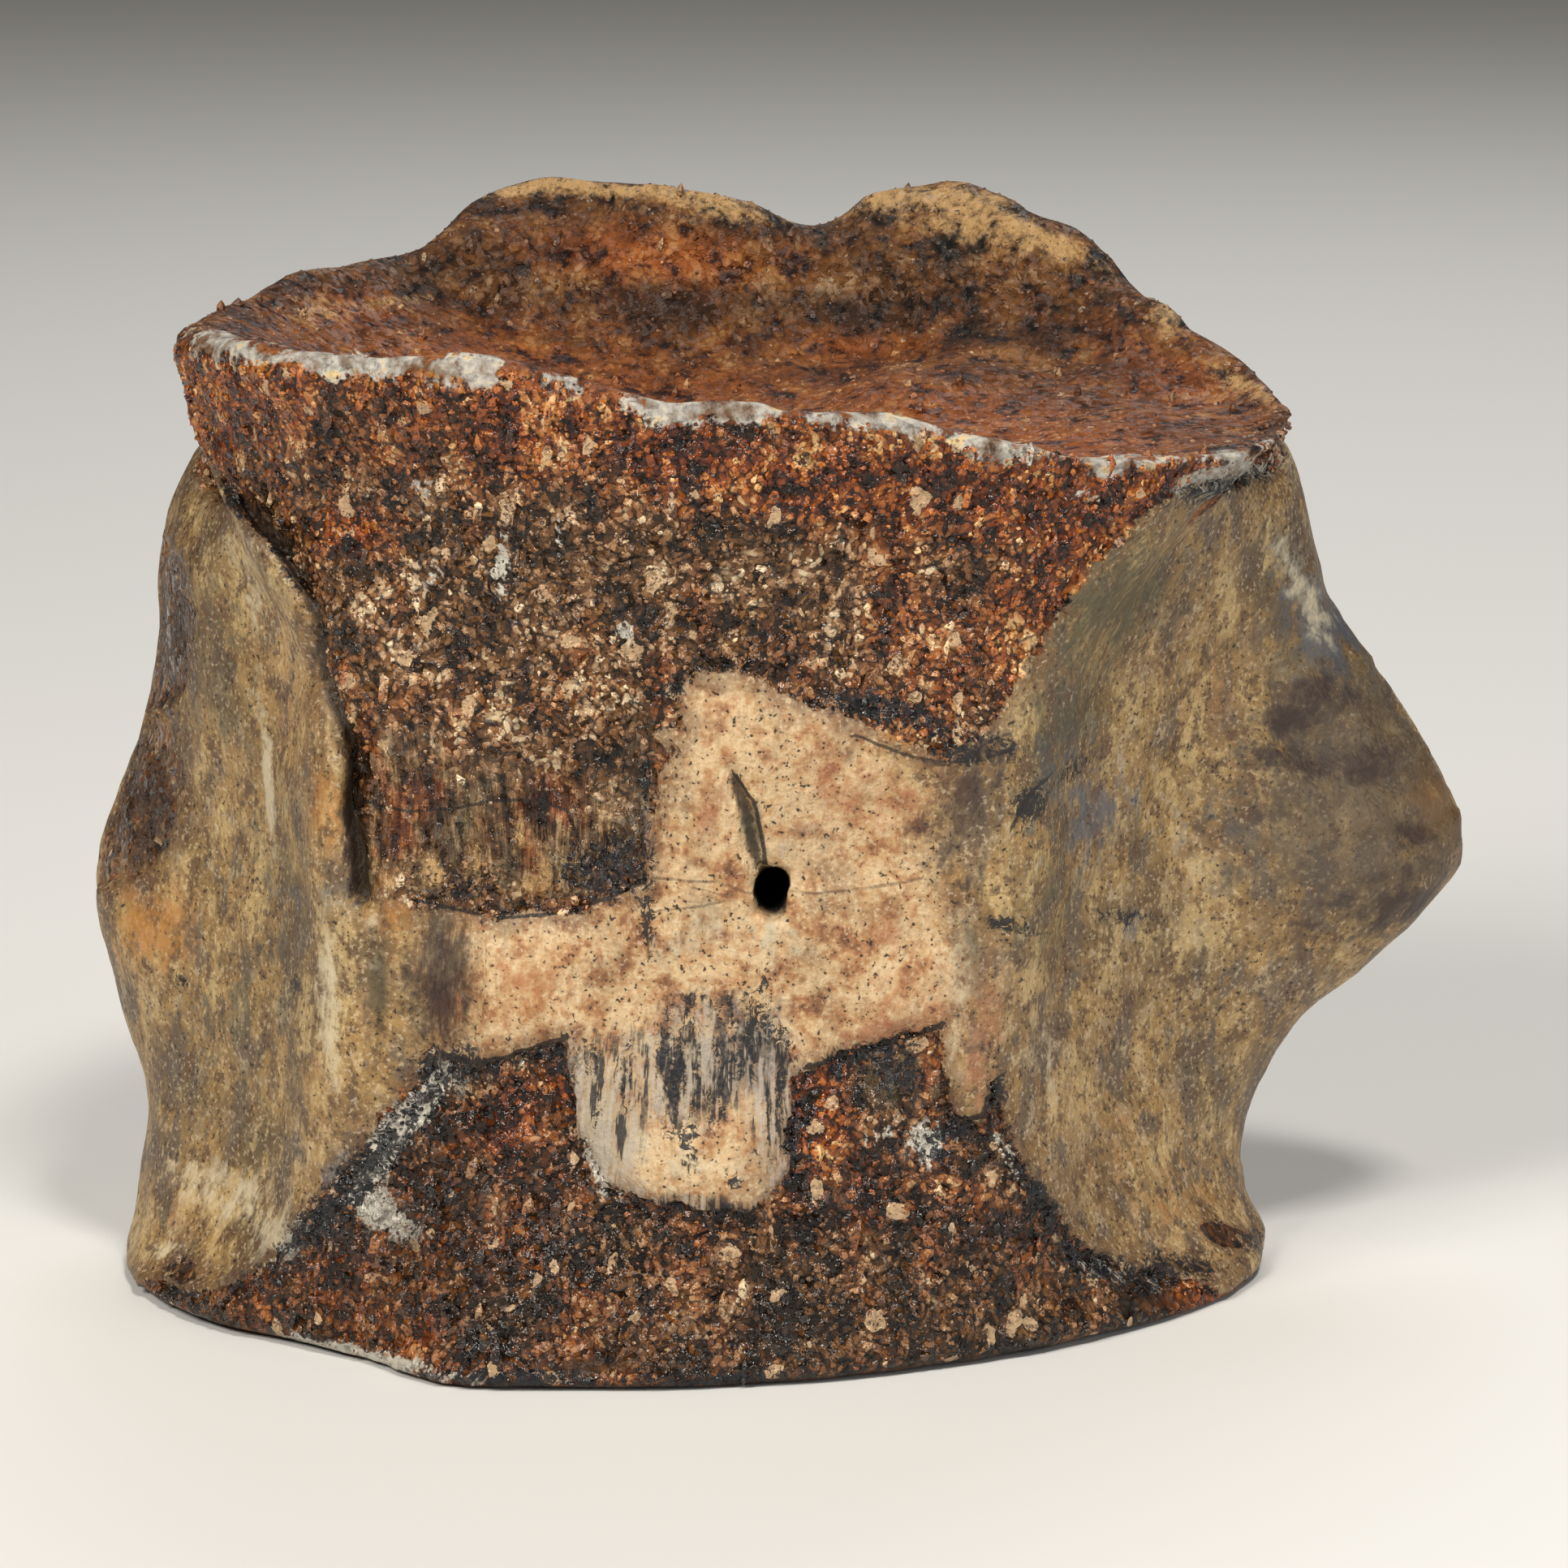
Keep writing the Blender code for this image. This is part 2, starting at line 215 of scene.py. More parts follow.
LOWER_SPONGE = [
    (60, 1800), (110, 1610), (180, 1575), (250, 1590), (329, 1560), (386, 1482), (435, 1433), (468, 1375),
    (509, 1343), (546, 1300), (591, 1310), (624, 1302), (697, 1277), (709, 1343), (714, 1392),
    (738, 1449), (771, 1474), (820, 1482), (877, 1490), (918, 1491), (951, 1474), (967, 1441),
    (975, 1392), (983, 1326), (1012, 1308), (1064, 1291), (1116, 1274), (1159, 1265), (1165, 1330),
    (1176, 1382), (1202, 1373), (1220, 1330), (1228, 1339), (1245, 1399), (1280, 1460), (1306, 1494),
    (1340, 1537), (1384, 1555), (1453, 1572), (1505, 1589), (1560, 1600), (1640, 1640), (1640, 1800),
]
LEDGE_HEIGHT = 0.55
SOFT_LEDGE = 0.5
STEEP_LEDGE = 0.12

drawn_depth = np.maximum(outline_depth(UPPER_SPONGE), outline_depth(LOWER_SPONGE))
ragged = drawn_depth + 0.45 * grit(1.6, 1) + 0.18 * grit(0.6, 2)
facing = smooth_step(0.05, 0.3, -normals[:, 1])
soft = smooth_step(-SOFT_LEDGE, SOFT_LEDGE, drawn_depth)
steep = smooth_step(-STEEP_LEDGE, STEEP_LEDGE, ragged)
rise = -LEDGE_HEIGHT * facing * (steep - soft)
print("share of points in spongy bone:", round(float((facing * steep).mean()), 3))

# %% [markdown]
# ## The joint faces
# Both ends of the spool are worn down to spongy bone too. A point belongs to an end when its normal
# points along the bone, and it lies near that end.

# %% How spongy each point is, in mm of depth
MIDDLE_LEVEL = 21.0
END_STARTS, END_IS_FULL = 12.0, 15.0

from_middle = np.abs(points[:, 2] - MIDDLE_LEVEL)
ends = smooth_step(0.45, 0.75, np.abs(normals[:, 2])) * smooth_step(END_STARTS, END_IS_FULL, from_middle)
belly_depth = np.where(facing > 0.3, ragged, -3.0)
BROKEN_PATCHES = [
    [(100, 880), (170, 875), (215, 885), (228, 960), (205, 1040), (175, 1078), (140, 1085),
     (100, 1100)],
    [(180, 640), (222, 690), (240, 760), (225, 850), (170, 880), (160, 700)],
    [(1560, 850), (1600, 800), (1700, 830), (1800, 950), (1790, 1010), (1740, 1050), (1690, 985),
     (1600, 960)]]
for outline in BROKEN_PATCHES[:2]:
    broken = outline_depth(outline) + 0.5 * grit(1.5, 13) + 0.3 * grit(0.6, 14)
    belly_depth = np.maximum(belly_depth, np.where(seen > 0.1, np.minimum(broken, 0.04), -3.0))
sponge_depth = np.clip(np.maximum(belly_depth, 3.0 * ends - 1.2 + 0.8 * grit(3.0, 3)), -2.0, 2.0)
spongy = smooth_step(-0.1, 0.3, sponge_depth)
crumbly = 0.16 * grit(1.1, 4) + 0.14 * (0.55 - cells(0.75, 5)) + 0.05 * grit(0.5, 6)
rise += spongy * (1 - 0.85 * ends) * crumbly
rise += spongy * ends * 0.22 * grit(2.2, 15)
print("spongy points:", int((spongy > 0.5).sum()))

# %% [markdown]
# ## Grain that follows the bone
# Smooth bone is striped with fine fibres. They run along the bone, and swing outwards beside the two
# ridges that frame the belly side. Each point gets a place on an imaginary straight spool, where the
# fibres are plain vertical lines: noise that is stretched along that spool then follows the real shape.

# %% Straighten every point into the spool's frame
AXIS_X_LOWER, AXIS_X_UPPER = -4.0, -2.4
AXIS_Y = -1.9
UPPER_LEVEL, WAIST_LEVEL = 42.0, 18.0
RIDGE_TURN_WAIST, RIDGE_TURN_LOWER, RIDGE_TURN_UPPER = 46.0, 62.0, 80.0
RIDGE_LEVEL_UPPER = 38.0
RIDGE_POWER = 5.0
SPOOL_RADIUS = 20.0

height = points[:, 2]
across = points[:, 0] - (AXIS_X_LOWER + (AXIS_X_UPPER - AXIS_X_LOWER) * height / UPPER_LEVEL)
turn = np.degrees(np.arctan2(across, AXIS_Y - points[:, 1]))
above = height > WAIST_LEVEL
reach = np.where(above, RIDGE_LEVEL_UPPER - WAIST_LEVEL, WAIST_LEVEL)
swing = np.where(above, RIDGE_TURN_UPPER, RIDGE_TURN_LOWER) - RIDGE_TURN_WAIST
ridge = RIDGE_TURN_WAIST + swing * np.clip(abs(height - WAIST_LEVEL) / reach, 0, 1) ** RIDGE_POWER
column = np.where(
    abs(turn) < ridge, abs(turn) * RIDGE_TURN_WAIST / ridge,
    180 - (180 - abs(turn)) * (180 - RIDGE_TURN_WAIST) / (180 - ridge)) * np.sign(turn)
around = np.radians(column)
from_axis = np.hypot(across, points[:, 1] - AXIS_Y)
radius = SPOOL_RADIUS + (from_axis - SPOOL_RADIUS) * ends
spool = np.column_stack([radius * np.sin(around), -radius * np.cos(around), height])
print("straightened", len(spool), "points")

# %% [markdown]
# ## Ledges, plates and crevices of the smooth bone
# The cortex is not one smooth skin. Thin plates of it stand a little proud in the middle, the edge of
# the left flank has split off along a crevice, and patches on both side processes have broken away.
# Each is an outline or a line in the picture, with a height in mm.

# %% Plates that stand proud, and patches broken away: (outline, height)
LEFT_PLATE = [(593, 1128), (664, 1130), (713, 1122), (707, 1137), (704, 1214), (699, 1277),
              (624, 1302), (591, 1310), (600, 1210)]
RIGHT_PLATE = [(806, 1081), (924, 1101), (970, 1096), (1133, 1081), (1170, 1110), (1176, 1200),
               (1163, 1262), (1116, 1274), (1064, 1291), (1012, 1308), (983, 1326), (975, 1392),
               (967, 1441), (951, 1474), (918, 1491), (820, 1482), (771, 1474), (738, 1449),
               (709, 1343), (700, 1277), (704, 1214), (707, 1137), (754, 1105), (787, 1090)]
STRIPED_PLATE = [(505, 1112), (591, 1126), (598, 1210), (588, 1312), (546, 1298), (500, 1250)]
PINK_STRIP = [(1163, 1200), (1194, 1200), (1215, 1290), (1202, 1373), (1176, 1382), (1160, 1300)]
SLABS = [(LEFT_PLATE, 0.16), (RIGHT_PLATE, 0.13), (STRIPED_PLATE, -0.10),
         (PINK_STRIP, 0.10), (BROKEN_PATCHES[0], -0.45), (BROKEN_PATCHES[1], -0.35),
         (BROKEN_PATCHES[2], -0.30)]

for outline, height_of_slab in SLABS:
    depth = outline_depth(outline) + 0.08 * grit(0.8, 7)
    rise += seen * height_of_slab * smooth_step(-0.1, 0.1, depth)
print("slabs:", len(SLABS))

# %% The crevice of the left flank, and shallow grooves: (line, half width, depth)
FLANK_CREVICE = [(262, 590), (301, 617), (350, 670), (377, 720), (386, 764), (386, 827),
                 (412, 871), (426, 907), (439, 952), (430, 996), (439, 1041), (441, 1103)]
LOWER_SLOT = [(462, 1160), (470, 1240), (466, 1300)]
SCAR = [(904, 958), (914, 985), (924, 1010), (926, 1035), (936, 1066)]
GROOVES = [(FLANK_CREVICE, 0.38, 0.85), (FLANK_CREVICE[-5:], 0.55, 0.6), (LOWER_SLOT, 0.45, 0.20),
           (SCAR, 0.34, 0.35)]

# The crevice number also sets how dark the material paints each groove: painted shade.
crevice = np.zeros(len(points))
for line, half_width, depth in GROOVES:
    gap, _ = line_gap(line)
    trough = seen * np.exp(-(gap / half_width) ** 2)
    crevice = np.maximum(crevice, trough * min(1.0, 2.5 * depth))
    rise -= depth * trough
print("grooves:", len(GROOVES))

# %% [markdown]
# ## Fibres, lumps and the fibrous band
# Between the crevice and the middle plates the cortex has been scraped down to bare fibres, like split
# wood. The same stretched noise, stronger there and faint elsewhere, carves both.

# %% Soft spots: (x, y, half width, half height, lean in degrees, strength), drawn in the picture
FIBROUS = [(610, 1010, 150, 80, 0, 1.0), (700, 1050, 90, 60, 0, 1.0), (548, 1205, 46, 100, 0, 1.0),
           (1110, 1330, 60, 40, 0, 1.0), (500, 950, 70, 90, 0, 0.8), (790, 930, 30, 90, 0, 0.6),
           (470, 1060, 40, 50, 0, 0.7)]
TONGUE = [(850, 1325, 135, 66, 0, 1.0), (745, 1390, 46, 100, -8, 1.0), (860, 1485, 90, 16, 6, 1.0),
          (955, 1400, 30, 80, 0, 1.0), (880, 1235, 80, 40, 0, 0.5)]


def soft_spots(places):
    """How strongly a list of leaning soft spots covers every point, from 0 to 1."""
    bare = np.ones(len(spots))
    for x, y, half_width, half_height, lean, strength in places:
        angle = math.radians(lean)
        gap = spots - (x, y)
        along = (gap[:, 0] * math.cos(angle) + gap[:, 1] * math.sin(angle)) / half_width
        beside = (gap[:, 1] * math.cos(angle) - gap[:, 0] * math.sin(angle)) / half_height
        bare *= 1 - strength * np.exp(-(along ** 2 + beside ** 2))
    return (1 - bare) * seen


# %% Fibres
fibrous = soft_spots(FIBROUS)
tongue = soft_spots(TONGUE)
fibres = grit(1.1, 8, (1, 1, 6), spool)
smooth_bone = 1 - spongy
rise += fibres * (0.04 * smooth_bone + 0.10 * fibrous + 0.06 * tongue)
ROCKY = [(1690, 930, 130, 170, 0, 1.0), (150, 980, 60, 110, 0, 0.8)]
rocky = soft_spots(ROCKY)
lumps = 0.14 * grit(3.0, 10) + 0.05 * grit(0.9, 11)
rise += smooth_bone * (lumps + rocky * (0.55 * grit(1.6, 16) + 0.25 * grit(0.7, 17)))
print("fibrous points:", int((fibrous > 0.5).sum()))

# %% [markdown]
# ## A crust on the upper edge
# A thin white-grey crust of lime clings to the near edge of the upper joint face, in patches. It stands
# a little proud and is pitted. That edge is found in the mesh: at each station along X it is the point
# of the upper face that lies furthest forward. The crust is measured from the line through them, and
# noise opens gaps in it. A half width below zero leaves only what the noise adds.

# %% Crust along the near rim: (from x, to x, half width in mm), and one drawn line
CRUST = [(230, 620, 0.50), (640, 770, -0.05), (770, 1240, 0.22), (1240, 1570, -0.05)]
CORNER_CRUST, CORNER_WIDTH = [(1445, 600), (1500, 585), (1590, 560)], 0.22
RIM_FROM, RIM_TO, RIM_STEP = -26.0, 22.1, 1.5
UPPER_FACE_ABOVE = 30.0
CRUST_REACH, CRUST_FADE = 6.0, 0.4
CRUST_HEIGHT = 0.12

stations = np.arange(RIM_FROM, RIM_TO, RIM_STEP)
upper_face = (ends > 0.5) & (points[:, 2] > UPPER_FACE_ABOVE)
rim = []
for x in stations:
    near = np.flatnonzero(upper_face & (abs(points[:, 0] - x) < RIM_STEP))
    rim.append(near[points[near, 1].argmin()])
rim_line = [tuple(spot) for spot in spots[rim]]
gap, _ = line_gap(CORNER_CRUST)
crust = CORNER_WIDTH - gap
for low, high, half_width in CRUST:
    gap, _ = line_gap([spot for spot in rim_line if low <= spot[0] <= high])
    crust = np.maximum(crust, half_width - gap)
crust += 0.75 * grit(3.2, 21) + 0.45 * grit(1.2, 22)
behind_rim = points[:, 1] - np.interp(points[:, 0], stations, points[rim, 1])
crust = np.minimum(crust, CRUST_FADE * (CRUST_REACH - behind_rim))
crust = np.where(seen > 0.1, crust, -2.0)
print("near rim from", np.round(rim_line[0]), "to", np.round(rim_line[-1]), "in the picture")
rise += CRUST_HEIGHT * smooth_step(-0.3, 0.3, crust)
print("crusted points:", int((crust > 0).sum()))

# %% Knobs and pits of the broken edges, in mm: (x, y, z, radius, rise)
KNOBS = [(-19.6, 9.5, 43.6, 1.3, 0.9), (3.3, 18.6, 46.2, 0.9, 0.7), (28.6, 1.0, 19.4, 1.0, -0.7),
         (23.6, -1.0, 24.2, 1.3, -0.6), (20.8, 1.0, 1.2, 1.4, 0.5), (5.5, 6.0, 39.6, 4.5, 0.9),
         (-4.3, -14.6, 9.6, 0.45, -0.4), (-24.0, -8.0, 1.4, 1.6, 0.5), (12.0, 17.0, 45.0, 1.2, -0.7),
         (-9.0, 16.0, 46.5, 1.6, -0.5)]
for x, y, z, radius, knob in KNOBS:
    away = np.linalg.norm(points - (x, y, z), axis=1) / radius
    rise += knob * np.exp(-away ** 2)
print("knobs and pits:", len(KNOBS))

# %% [markdown]
# ## Move the points
# All the heights are added up, and each point moves along its normal once. The worn edge that the bone
# stands on stays in its plane, so the relief fades out just above it.

# %% Carve
RELIEF_FADES_BELOW = 1.2
rise *= smooth_step(-0.2, RELIEF_FADES_BELOW, points[:, 2])
carved = points + normals * rise[:, None]
carved[:, 2] = np.maximum(carved[:, 2], 0.0)
carved[points[:, 2] < 0.02, 2] = 0.0
write_points(bone.data, carved)
bone.data.shade_smooth()
print("moved by", round(float(rise.min()), 2), "to", round(float(rise.max()), 2), "mm")

# %% [markdown]
# ## Stains, and painted shade and highlights
# Iron has turned the spongy bone orange and red, manganese has drawn black ferns and streaks, and the
# smooth bone shifts from cream to olive and blue-grey. Real stains have soft edges that follow the
# grain. Each kind is a list of soft spots; the material breaks up their edges with noise. A few purple,
# black and olive spots are painted shade in hollows, beside ledges and low down, and a few pale and
# blue spots are painted highlights on the right process.

# %% Stains, and painted shade and highlights, as soft spots drawn in the picture
STAINS_AND_SHADING = {
    "iron": [
        (1300, 575, 210, 75, 8, 1.0), (1340, 700, 60, 90, 30, 1.0), (760, 520, 400, 80, 4, 0.8),
        (330, 470, 110, 60, 10, 0.7), (430, 655, 45, 30, 0, 1.0), (1200, 740, 130, 90, 0, 0.55),
        (590, 440, 120, 40, 0, 0.6), (1000, 600, 180, 80, 0, 0.6), (640, 1390, 70, 60, 0, 0.4),
        (1000, 1380, 40, 60, 0, 1.0), (1500, 1590, 60, 20, -15, 0.8), (810, 318, 130, 34, 4, 1.0),
        (430, 385, 60, 20, 0, 0.8), (690, 1340, 20, 20, 0, 1.0), (1450, 470, 120, 45, 20, 0.6),
        (1050, 430, 90, 20, 0, 0.6), (700, 1090, 40, 60, 0, 0.4), (240, 540, 30, 30, 0, 0.6),
    ],
    "grey": [
        (610, 1000, 170, 110, 0, 0.8), (560, 730, 150, 90, 0, 0.6), (480, 500, 110, 60, 0, 0.4),
        (1050, 720, 200, 90, 0, 0.45), (820, 690, 200, 60, 0, 0.35), (1290, 520, 60, 30, 0, 0.6),
        (1600, 1330, 60, 120, 0, 0.6), (1480, 1300, 60, 120, 0, 0.4), (1640, 800, 60, 70, 0, 0.8),
        (1660, 1040, 150, 110, 0, 0.7), (1690, 900, 90, 70, 30, 0.8), (330, 1160, 60, 60, 0, 0.4),
        (300, 1400, 60, 90, 0, 0.35), (240, 1250, 40, 80, 0, 0.4), (1680, 1090, 70, 40, 0, 0.5),
        (940, 1140, 60, 30, 0, 0.3), (880, 1560, 60, 50, 0, 0.5), (1100, 1620, 330, 80, 0, 0.4),
        (1680, 950, 150, 170, 0, 1.0), (1720, 980, 100, 120, 0, 0.8), (1600, 760, 50, 100, -20, 0.8),
        (760, 640, 260, 90, 6, 0.4),
    ],
    "black": [
        (1100, 878, 95, 18, 16, 1.0), (1205, 928, 52, 14, -4, 1.0), (1268, 990, 18, 32, 20, 1.0),
        (1246, 1142, 34, 11, 14, 0.9), (1385, 1130, 40, 12, 6, 0.8), (1320, 950, 30, 14, -40, 0.6),
        (846, 1398, 13, 12, 0, 1.0), (850, 1430, 12, 14, 0, 1.0), (905, 1455, 10, 14, 0, 0.8),
        (880, 1240, 40, 20, 0, 0.5), (965, 1330, 10, 50, 0, 0.7), (1030, 1320, 10, 30, 0, 0.7),
        (1060, 1330, 8, 40, 0, 0.7), (1090, 1325, 8, 44, 0, 0.7), (1122, 1330, 8, 40, 0, 0.7),
        # Painted shadow: (795, 960) and (797, 1040) darken the strip beside the middle plate's left edge.
        (740, 1070, 60, 45, -20, 0.8), (795, 960, 8, 40, 6, 0.8), (797, 1040, 8, 40, -5, 0.7),
        (800, 1140, 9, 40, -5, 1.0), (830, 850, 20, 14, 0, 0.8), (545, 1310, 44, 20, -20, 1.0),
        (500, 1385, 70, 20, -48, 1.0), (440, 1450, 60, 26, -50, 1.0), (385, 1515, 55, 22, -45, 1.0),
        (340, 1570, 40, 20, -30, 0.7), (590, 1318, 40, 14, 0, 1.0), (660, 1300, 40, 10, -15, 0.9),
        (1060, 1300, 70, 10, -16, 0.9), (1225, 1350, 14, 34, 20, 0.9), (1280, 1475, 14, 60, -30, 1.0),
        (1350, 1560, 70, 18, 25, 0.9), (1450, 1560, 60, 18, 5, 0.8), (1545, 1530, 25, 20, 0, 0.8),
        (290, 622, 45, 10, 38, 1.0), (352, 690, 12, 50, -25, 0.9), (1500, 600, 90, 14, -16, 0.9),
        (850, 1300, 16, 60, 0, 1.0), (880, 1340, 14, 60, 0, 0.9), (925, 1285, 26, 50, 0, 1.0),
        (820, 1300, 14, 60, 0, 0.9), (770, 1320, 10, 50, 0, 0.7), (960, 1300, 20, 24, 0, 1.0),
        (830, 1365, 14, 30, 0, 0.8), (722, 1300, 18, 16, 0, 0.9), (975, 1420, 12, 50, 0, 0.8),
        (950, 1370, 10, 60, 0, 0.7), (740, 1380, 10, 60, -10, 0.6), (860, 1490, 90, 8, 6, 0.9),
        (640, 1700, 120, 14, 4, 0.9), (900, 1700, 160, 12, -3, 0.7), (1170, 1395, 30, 14, 0, 0.8),
        (1150, 1425, 30, 30, 0, 0.7), (1110, 1320, 30, 30, 0, 0.6), (221, 1208, 9, 9, 0, 1.0),
        (365, 1215, 8, 14, 0, 0.8), (700, 1320, 14, 40, -10, 0.7), (540, 1400, 30, 20, 0, 0.5),
        (680, 975, 30, 20, 0, 0.4), (560, 1090, 60, 20, 0, 0.5), (940, 1210, 14, 30, 0, 0.5),
    ],
    "pale": [
        (528, 1352, 60, 22, -45, 1.0), (470, 1420, 50, 24, -50, 1.0), (480, 1505, 50, 22, 20, 0.9),
        (335, 1530, 50, 30, -40, 0.7), (450, 1475, 30, 24, 0, 0.8), (290, 1480, 50, 30, 0, 0.5),
        (1150, 1410, 26, 26, 0, 0.8), (760, 1400, 30, 70, -14, 0.7), (830, 1350, 90, 60, 0, 0.5),
        (880, 1440, 70, 40, 0, 0.4), (1510, 585, 80, 18, -16, 0.8), (540, 700, 50, 40, 0, 0.3),
        (1180, 1230, 25, 90, 0, 0.5), (860, 1280, 100, 30, 0, 0.4), (450, 448, 40, 14, 0, 0.9),
        (900, 1160, 90, 50, 0, 0.5), (1080, 1400, 50, 20, 0, 0.4), (735, 1400, 16, 70, -8, 0.9),
        # Painted highlights: these three spots brighten the top of the right process.
        (1590, 700, 16, 60, -20, 0.6), (1625, 760, 18, 40, -25, 0.6), (1600, 830, 30, 12, -20, 0.5),
        (1350, 1565, 120, 16, 15, 0.3), (960, 1030, 60, 80, 0, 0.3), (440, 1672, 130, 14, 12, 1.0),
        (405, 1240, 16, 130, -2, 0.8), (330, 960, 8, 120, -6, 0.8), (310, 720, 16, 90, -16, 0.5),
        (240, 1450, 40, 30, 0, 0.6), (200, 1540, 30, 14, 0, 0.7), (460, 1150, 12, 60, 4, 0.5),
        (1290, 1310, 16, 90, -14, 0.4), (1240, 1420, 10, 60, -20, 0.6), (620, 690, 10, 60, 4, 0.8),
        (690, 660, 8, 50, -6, 0.7), (500, 610, 60, 30, 0, 0.4), (1260, 560, 26, 16, 0, 0.7),
        (1340, 610, 40, 12, 10, 0.5), (770, 780, 16, 14, 0, 0.9),
    ],
    "purple": [
        (205, 770, 34, 110, 0, 0.9), (170, 990, 55, 85, 0, 1.0), (1590, 885, 34, 34, 0, 0.9),
        (1640, 946, 95, 18, 3, 1.0), (1742, 1030, 20, 24, 0, 1.0), (1620, 850, 30, 26, 0, 0.8),
        (1700, 930, 40, 20, 0, 0.8), (1560, 930, 26, 18, 0, 0.8), (548, 1205, 40, 95, 0, 0.9),
        # Painted shade: (780, 985) and (735, 1065) beside the middle plate, (428, 1030) in the flank
        # crevice.
        (505, 1230, 10, 60, 0, 0.8), (1110, 1330, 50, 45, 0, 0.7), (780, 985, 16, 90, 2, 0.9),
        (735, 1065, 50, 40, -10, 0.9), (428, 1030, 10, 80, 0, 0.9), (455, 1320, 12, 60, 20, 0.5),
        (1250, 930, 50, 40, 30, 0.4), (1630, 1130, 90, 30, -30, 0.5), (1190, 980, 40, 60, 0, 0.7),
        (1140, 1030, 40, 30, 0, 0.5), (1180, 1100, 30, 60, 0, 0.5), (300, 1130, 60, 16, 30, 0.4),
        # Painted shade: (540, 1520) and (800, 1640) darken the lower spongy zone near the floor.
        (300, 1000, 30, 40, 20, 0.4), (540, 1520, 170, 110, -20, 0.65), (800, 1640, 300, 50, 0, 0.5),
        (600, 1330, 60, 30, 0, 0.6), (1380, 450, 130, 40, 20, 0.5), (1150, 1560, 200, 60, 10, 0.35),
        (1560, 1000, 60, 30, 0, 0.4), (1660, 860, 60, 40, 0, 0.5), (1240, 480, 50, 20, 0, 0.3),
        (1730, 1110, 60, 35, -40, 0.7), (300, 1570, 60, 30, -30, 0.5), (1000, 540, 200, 30, 4, 0.5),
        # Painted shade: (815, 366) and the two spots after it darken the crescent under the far rim.
        (900, 520, 60, 30, 0, 0.5), (1600, 640, 14, 60, 0, 0.5), (815, 366, 200, 20, 2, 1.0),
        (1040, 388, 90, 16, 6, 0.8), (700, 420, 60, 12, 4, 0.6),
    ],
    "tan": [
        (640, 228, 100, 12, -8, 1.0), (770, 232, 130, 10, 4, 1.0), (880, 250, 60, 16, 10, 1.0),
        (1080, 243, 40, 16, 0, 1.0), (1170, 246, 80, 16, 4, 1.0), (1270, 285, 90, 14, 26, 1.0),
        (1200, 285, 90, 20, 12, 0.7), (1440, 385, 20, 30, 0, 0.9), (1520, 470, 60, 14, 30, 0.7),
        (1000, 268, 50, 6, 0, 0.7), (390, 385, 40, 16, 0, 0.7), (480, 372, 60, 8, -8, 0.6),
        (668, 1084, 17, 26, 0, 1.0), (538, 1078, 22, 22, 0, 0.8), (585, 1050, 9, 50, 0, 0.7),
        (640, 1030, 7, 60, 0, 0.7), (480, 1085, 16, 22, 0, 0.6),
    ],
    "blue": [
        (1345, 1000, 55, 60, 0, 0.8), (1400, 1130, 30, 30, 0, 0.6), (1310, 930, 60, 40, -30, 0.5),
        (930, 1290, 60, 60, 0, 0.7), (850, 1310, 60, 70, 0, 0.6), (500, 1370, 40, 30, -40, 0.5),
        # Painted highlights: (1630, 770) and (1590, 700) on the top of the right process.
        (900, 250, 70, 18, 8, 0.6), (1630, 770, 40, 80, -25, 0.9), (1590, 700, 16, 60, -20, 0.6),
        (380, 1110, 60, 30, 0, 0.4), (420, 1450, 40, 30, -40, 0.6), (1480, 1010, 60, 60, 0, 0.3),
        (940, 1070, 12, 60, -8, 0.3),
    ],
    "ochre": [
        (1115, 905, 30, 15, 24, 1.0), (190, 1140, 60, 60, 0, 0.8), (1772, 985, 30, 42, -20, 1.0),
        (405, 1000, 26, 60, 0, 0.8), (650, 1215, 60, 80, 0, 0.4), (350, 850, 40, 90, -20, 0.4),
        (1500, 840, 60, 120, 25, 0.3), (1400, 1400, 110, 130, 0, 0.25), (1590, 1130, 80, 40, 0, 0.35),
        (1480, 1480, 80, 60, 0, 0.25), (230, 1480, 60, 60, 0, 0.3), (400, 1330, 40, 90, 0, 0.35),
        (980, 1440, 30, 40, 0, 0.6), (880, 1200, 40, 60, 0, 0.3), (1190, 240, 120, 30, 10, 0.7),
        (480, 1130, 40, 60, 0, 0.6),
    ],
    "rose": [
        (1130, 1220, 60, 40, 0, 0.6), (1090, 1270, 90, 20, -14, 0.8), (1200, 1310, 16, 60, 0, 0.7),
        (1050, 1000, 90, 40, 0, 0.5), (1130, 960, 70, 40, 0, 0.5), (880, 960, 30, 60, 0, 0.3),
        (650, 1215, 80, 70, 0, 0.45), (460, 1230, 30, 70, 0, 0.5), (900, 1160, 60, 20, 0, 0.4),
        (1215, 1250, 26, 110, 0, 0.6), (1020, 915, 40, 30, 0, 0.6), (870, 1010, 14, 14, 0, 0.9),
        (1020, 960, 16, 22, 0, 0.9), (1100, 1150, 30, 20, 0, 0.8),
    ],
    "olive": [
        # Partly painted shade: (1370, 740) darkens the hollow of the right flank under the rim.
        (1370, 740, 60, 110, 40, 0.9), (1300, 900, 50, 80, 30, 0.7), (270, 800, 70, 160, -14, 0.5),
        (1290, 1120, 50, 120, 0, 0.5), (300, 1250, 90, 160, 0, 0.4), (1560, 700, 40, 70, 0, 0.3),
        (440, 960, 30, 160, 0, 0.6), (927, 1022, 17, 50, -14, 1.0), (350, 1050, 50, 90, 0, 0.4),
        (464, 1225, 15, 70, 0, 0.9), (470, 1010, 26, 70, 0, 0.6), (1200, 1180, 30, 120, 0, 0.5),
    ],
}


stains_and_shading = {kind: soft_spots(places) for kind, places in STAINS_AND_SHADING.items()}
print("stains:", {kind: round(float(cover.mean()), 3) for kind, cover in stains_and_shading.items()})
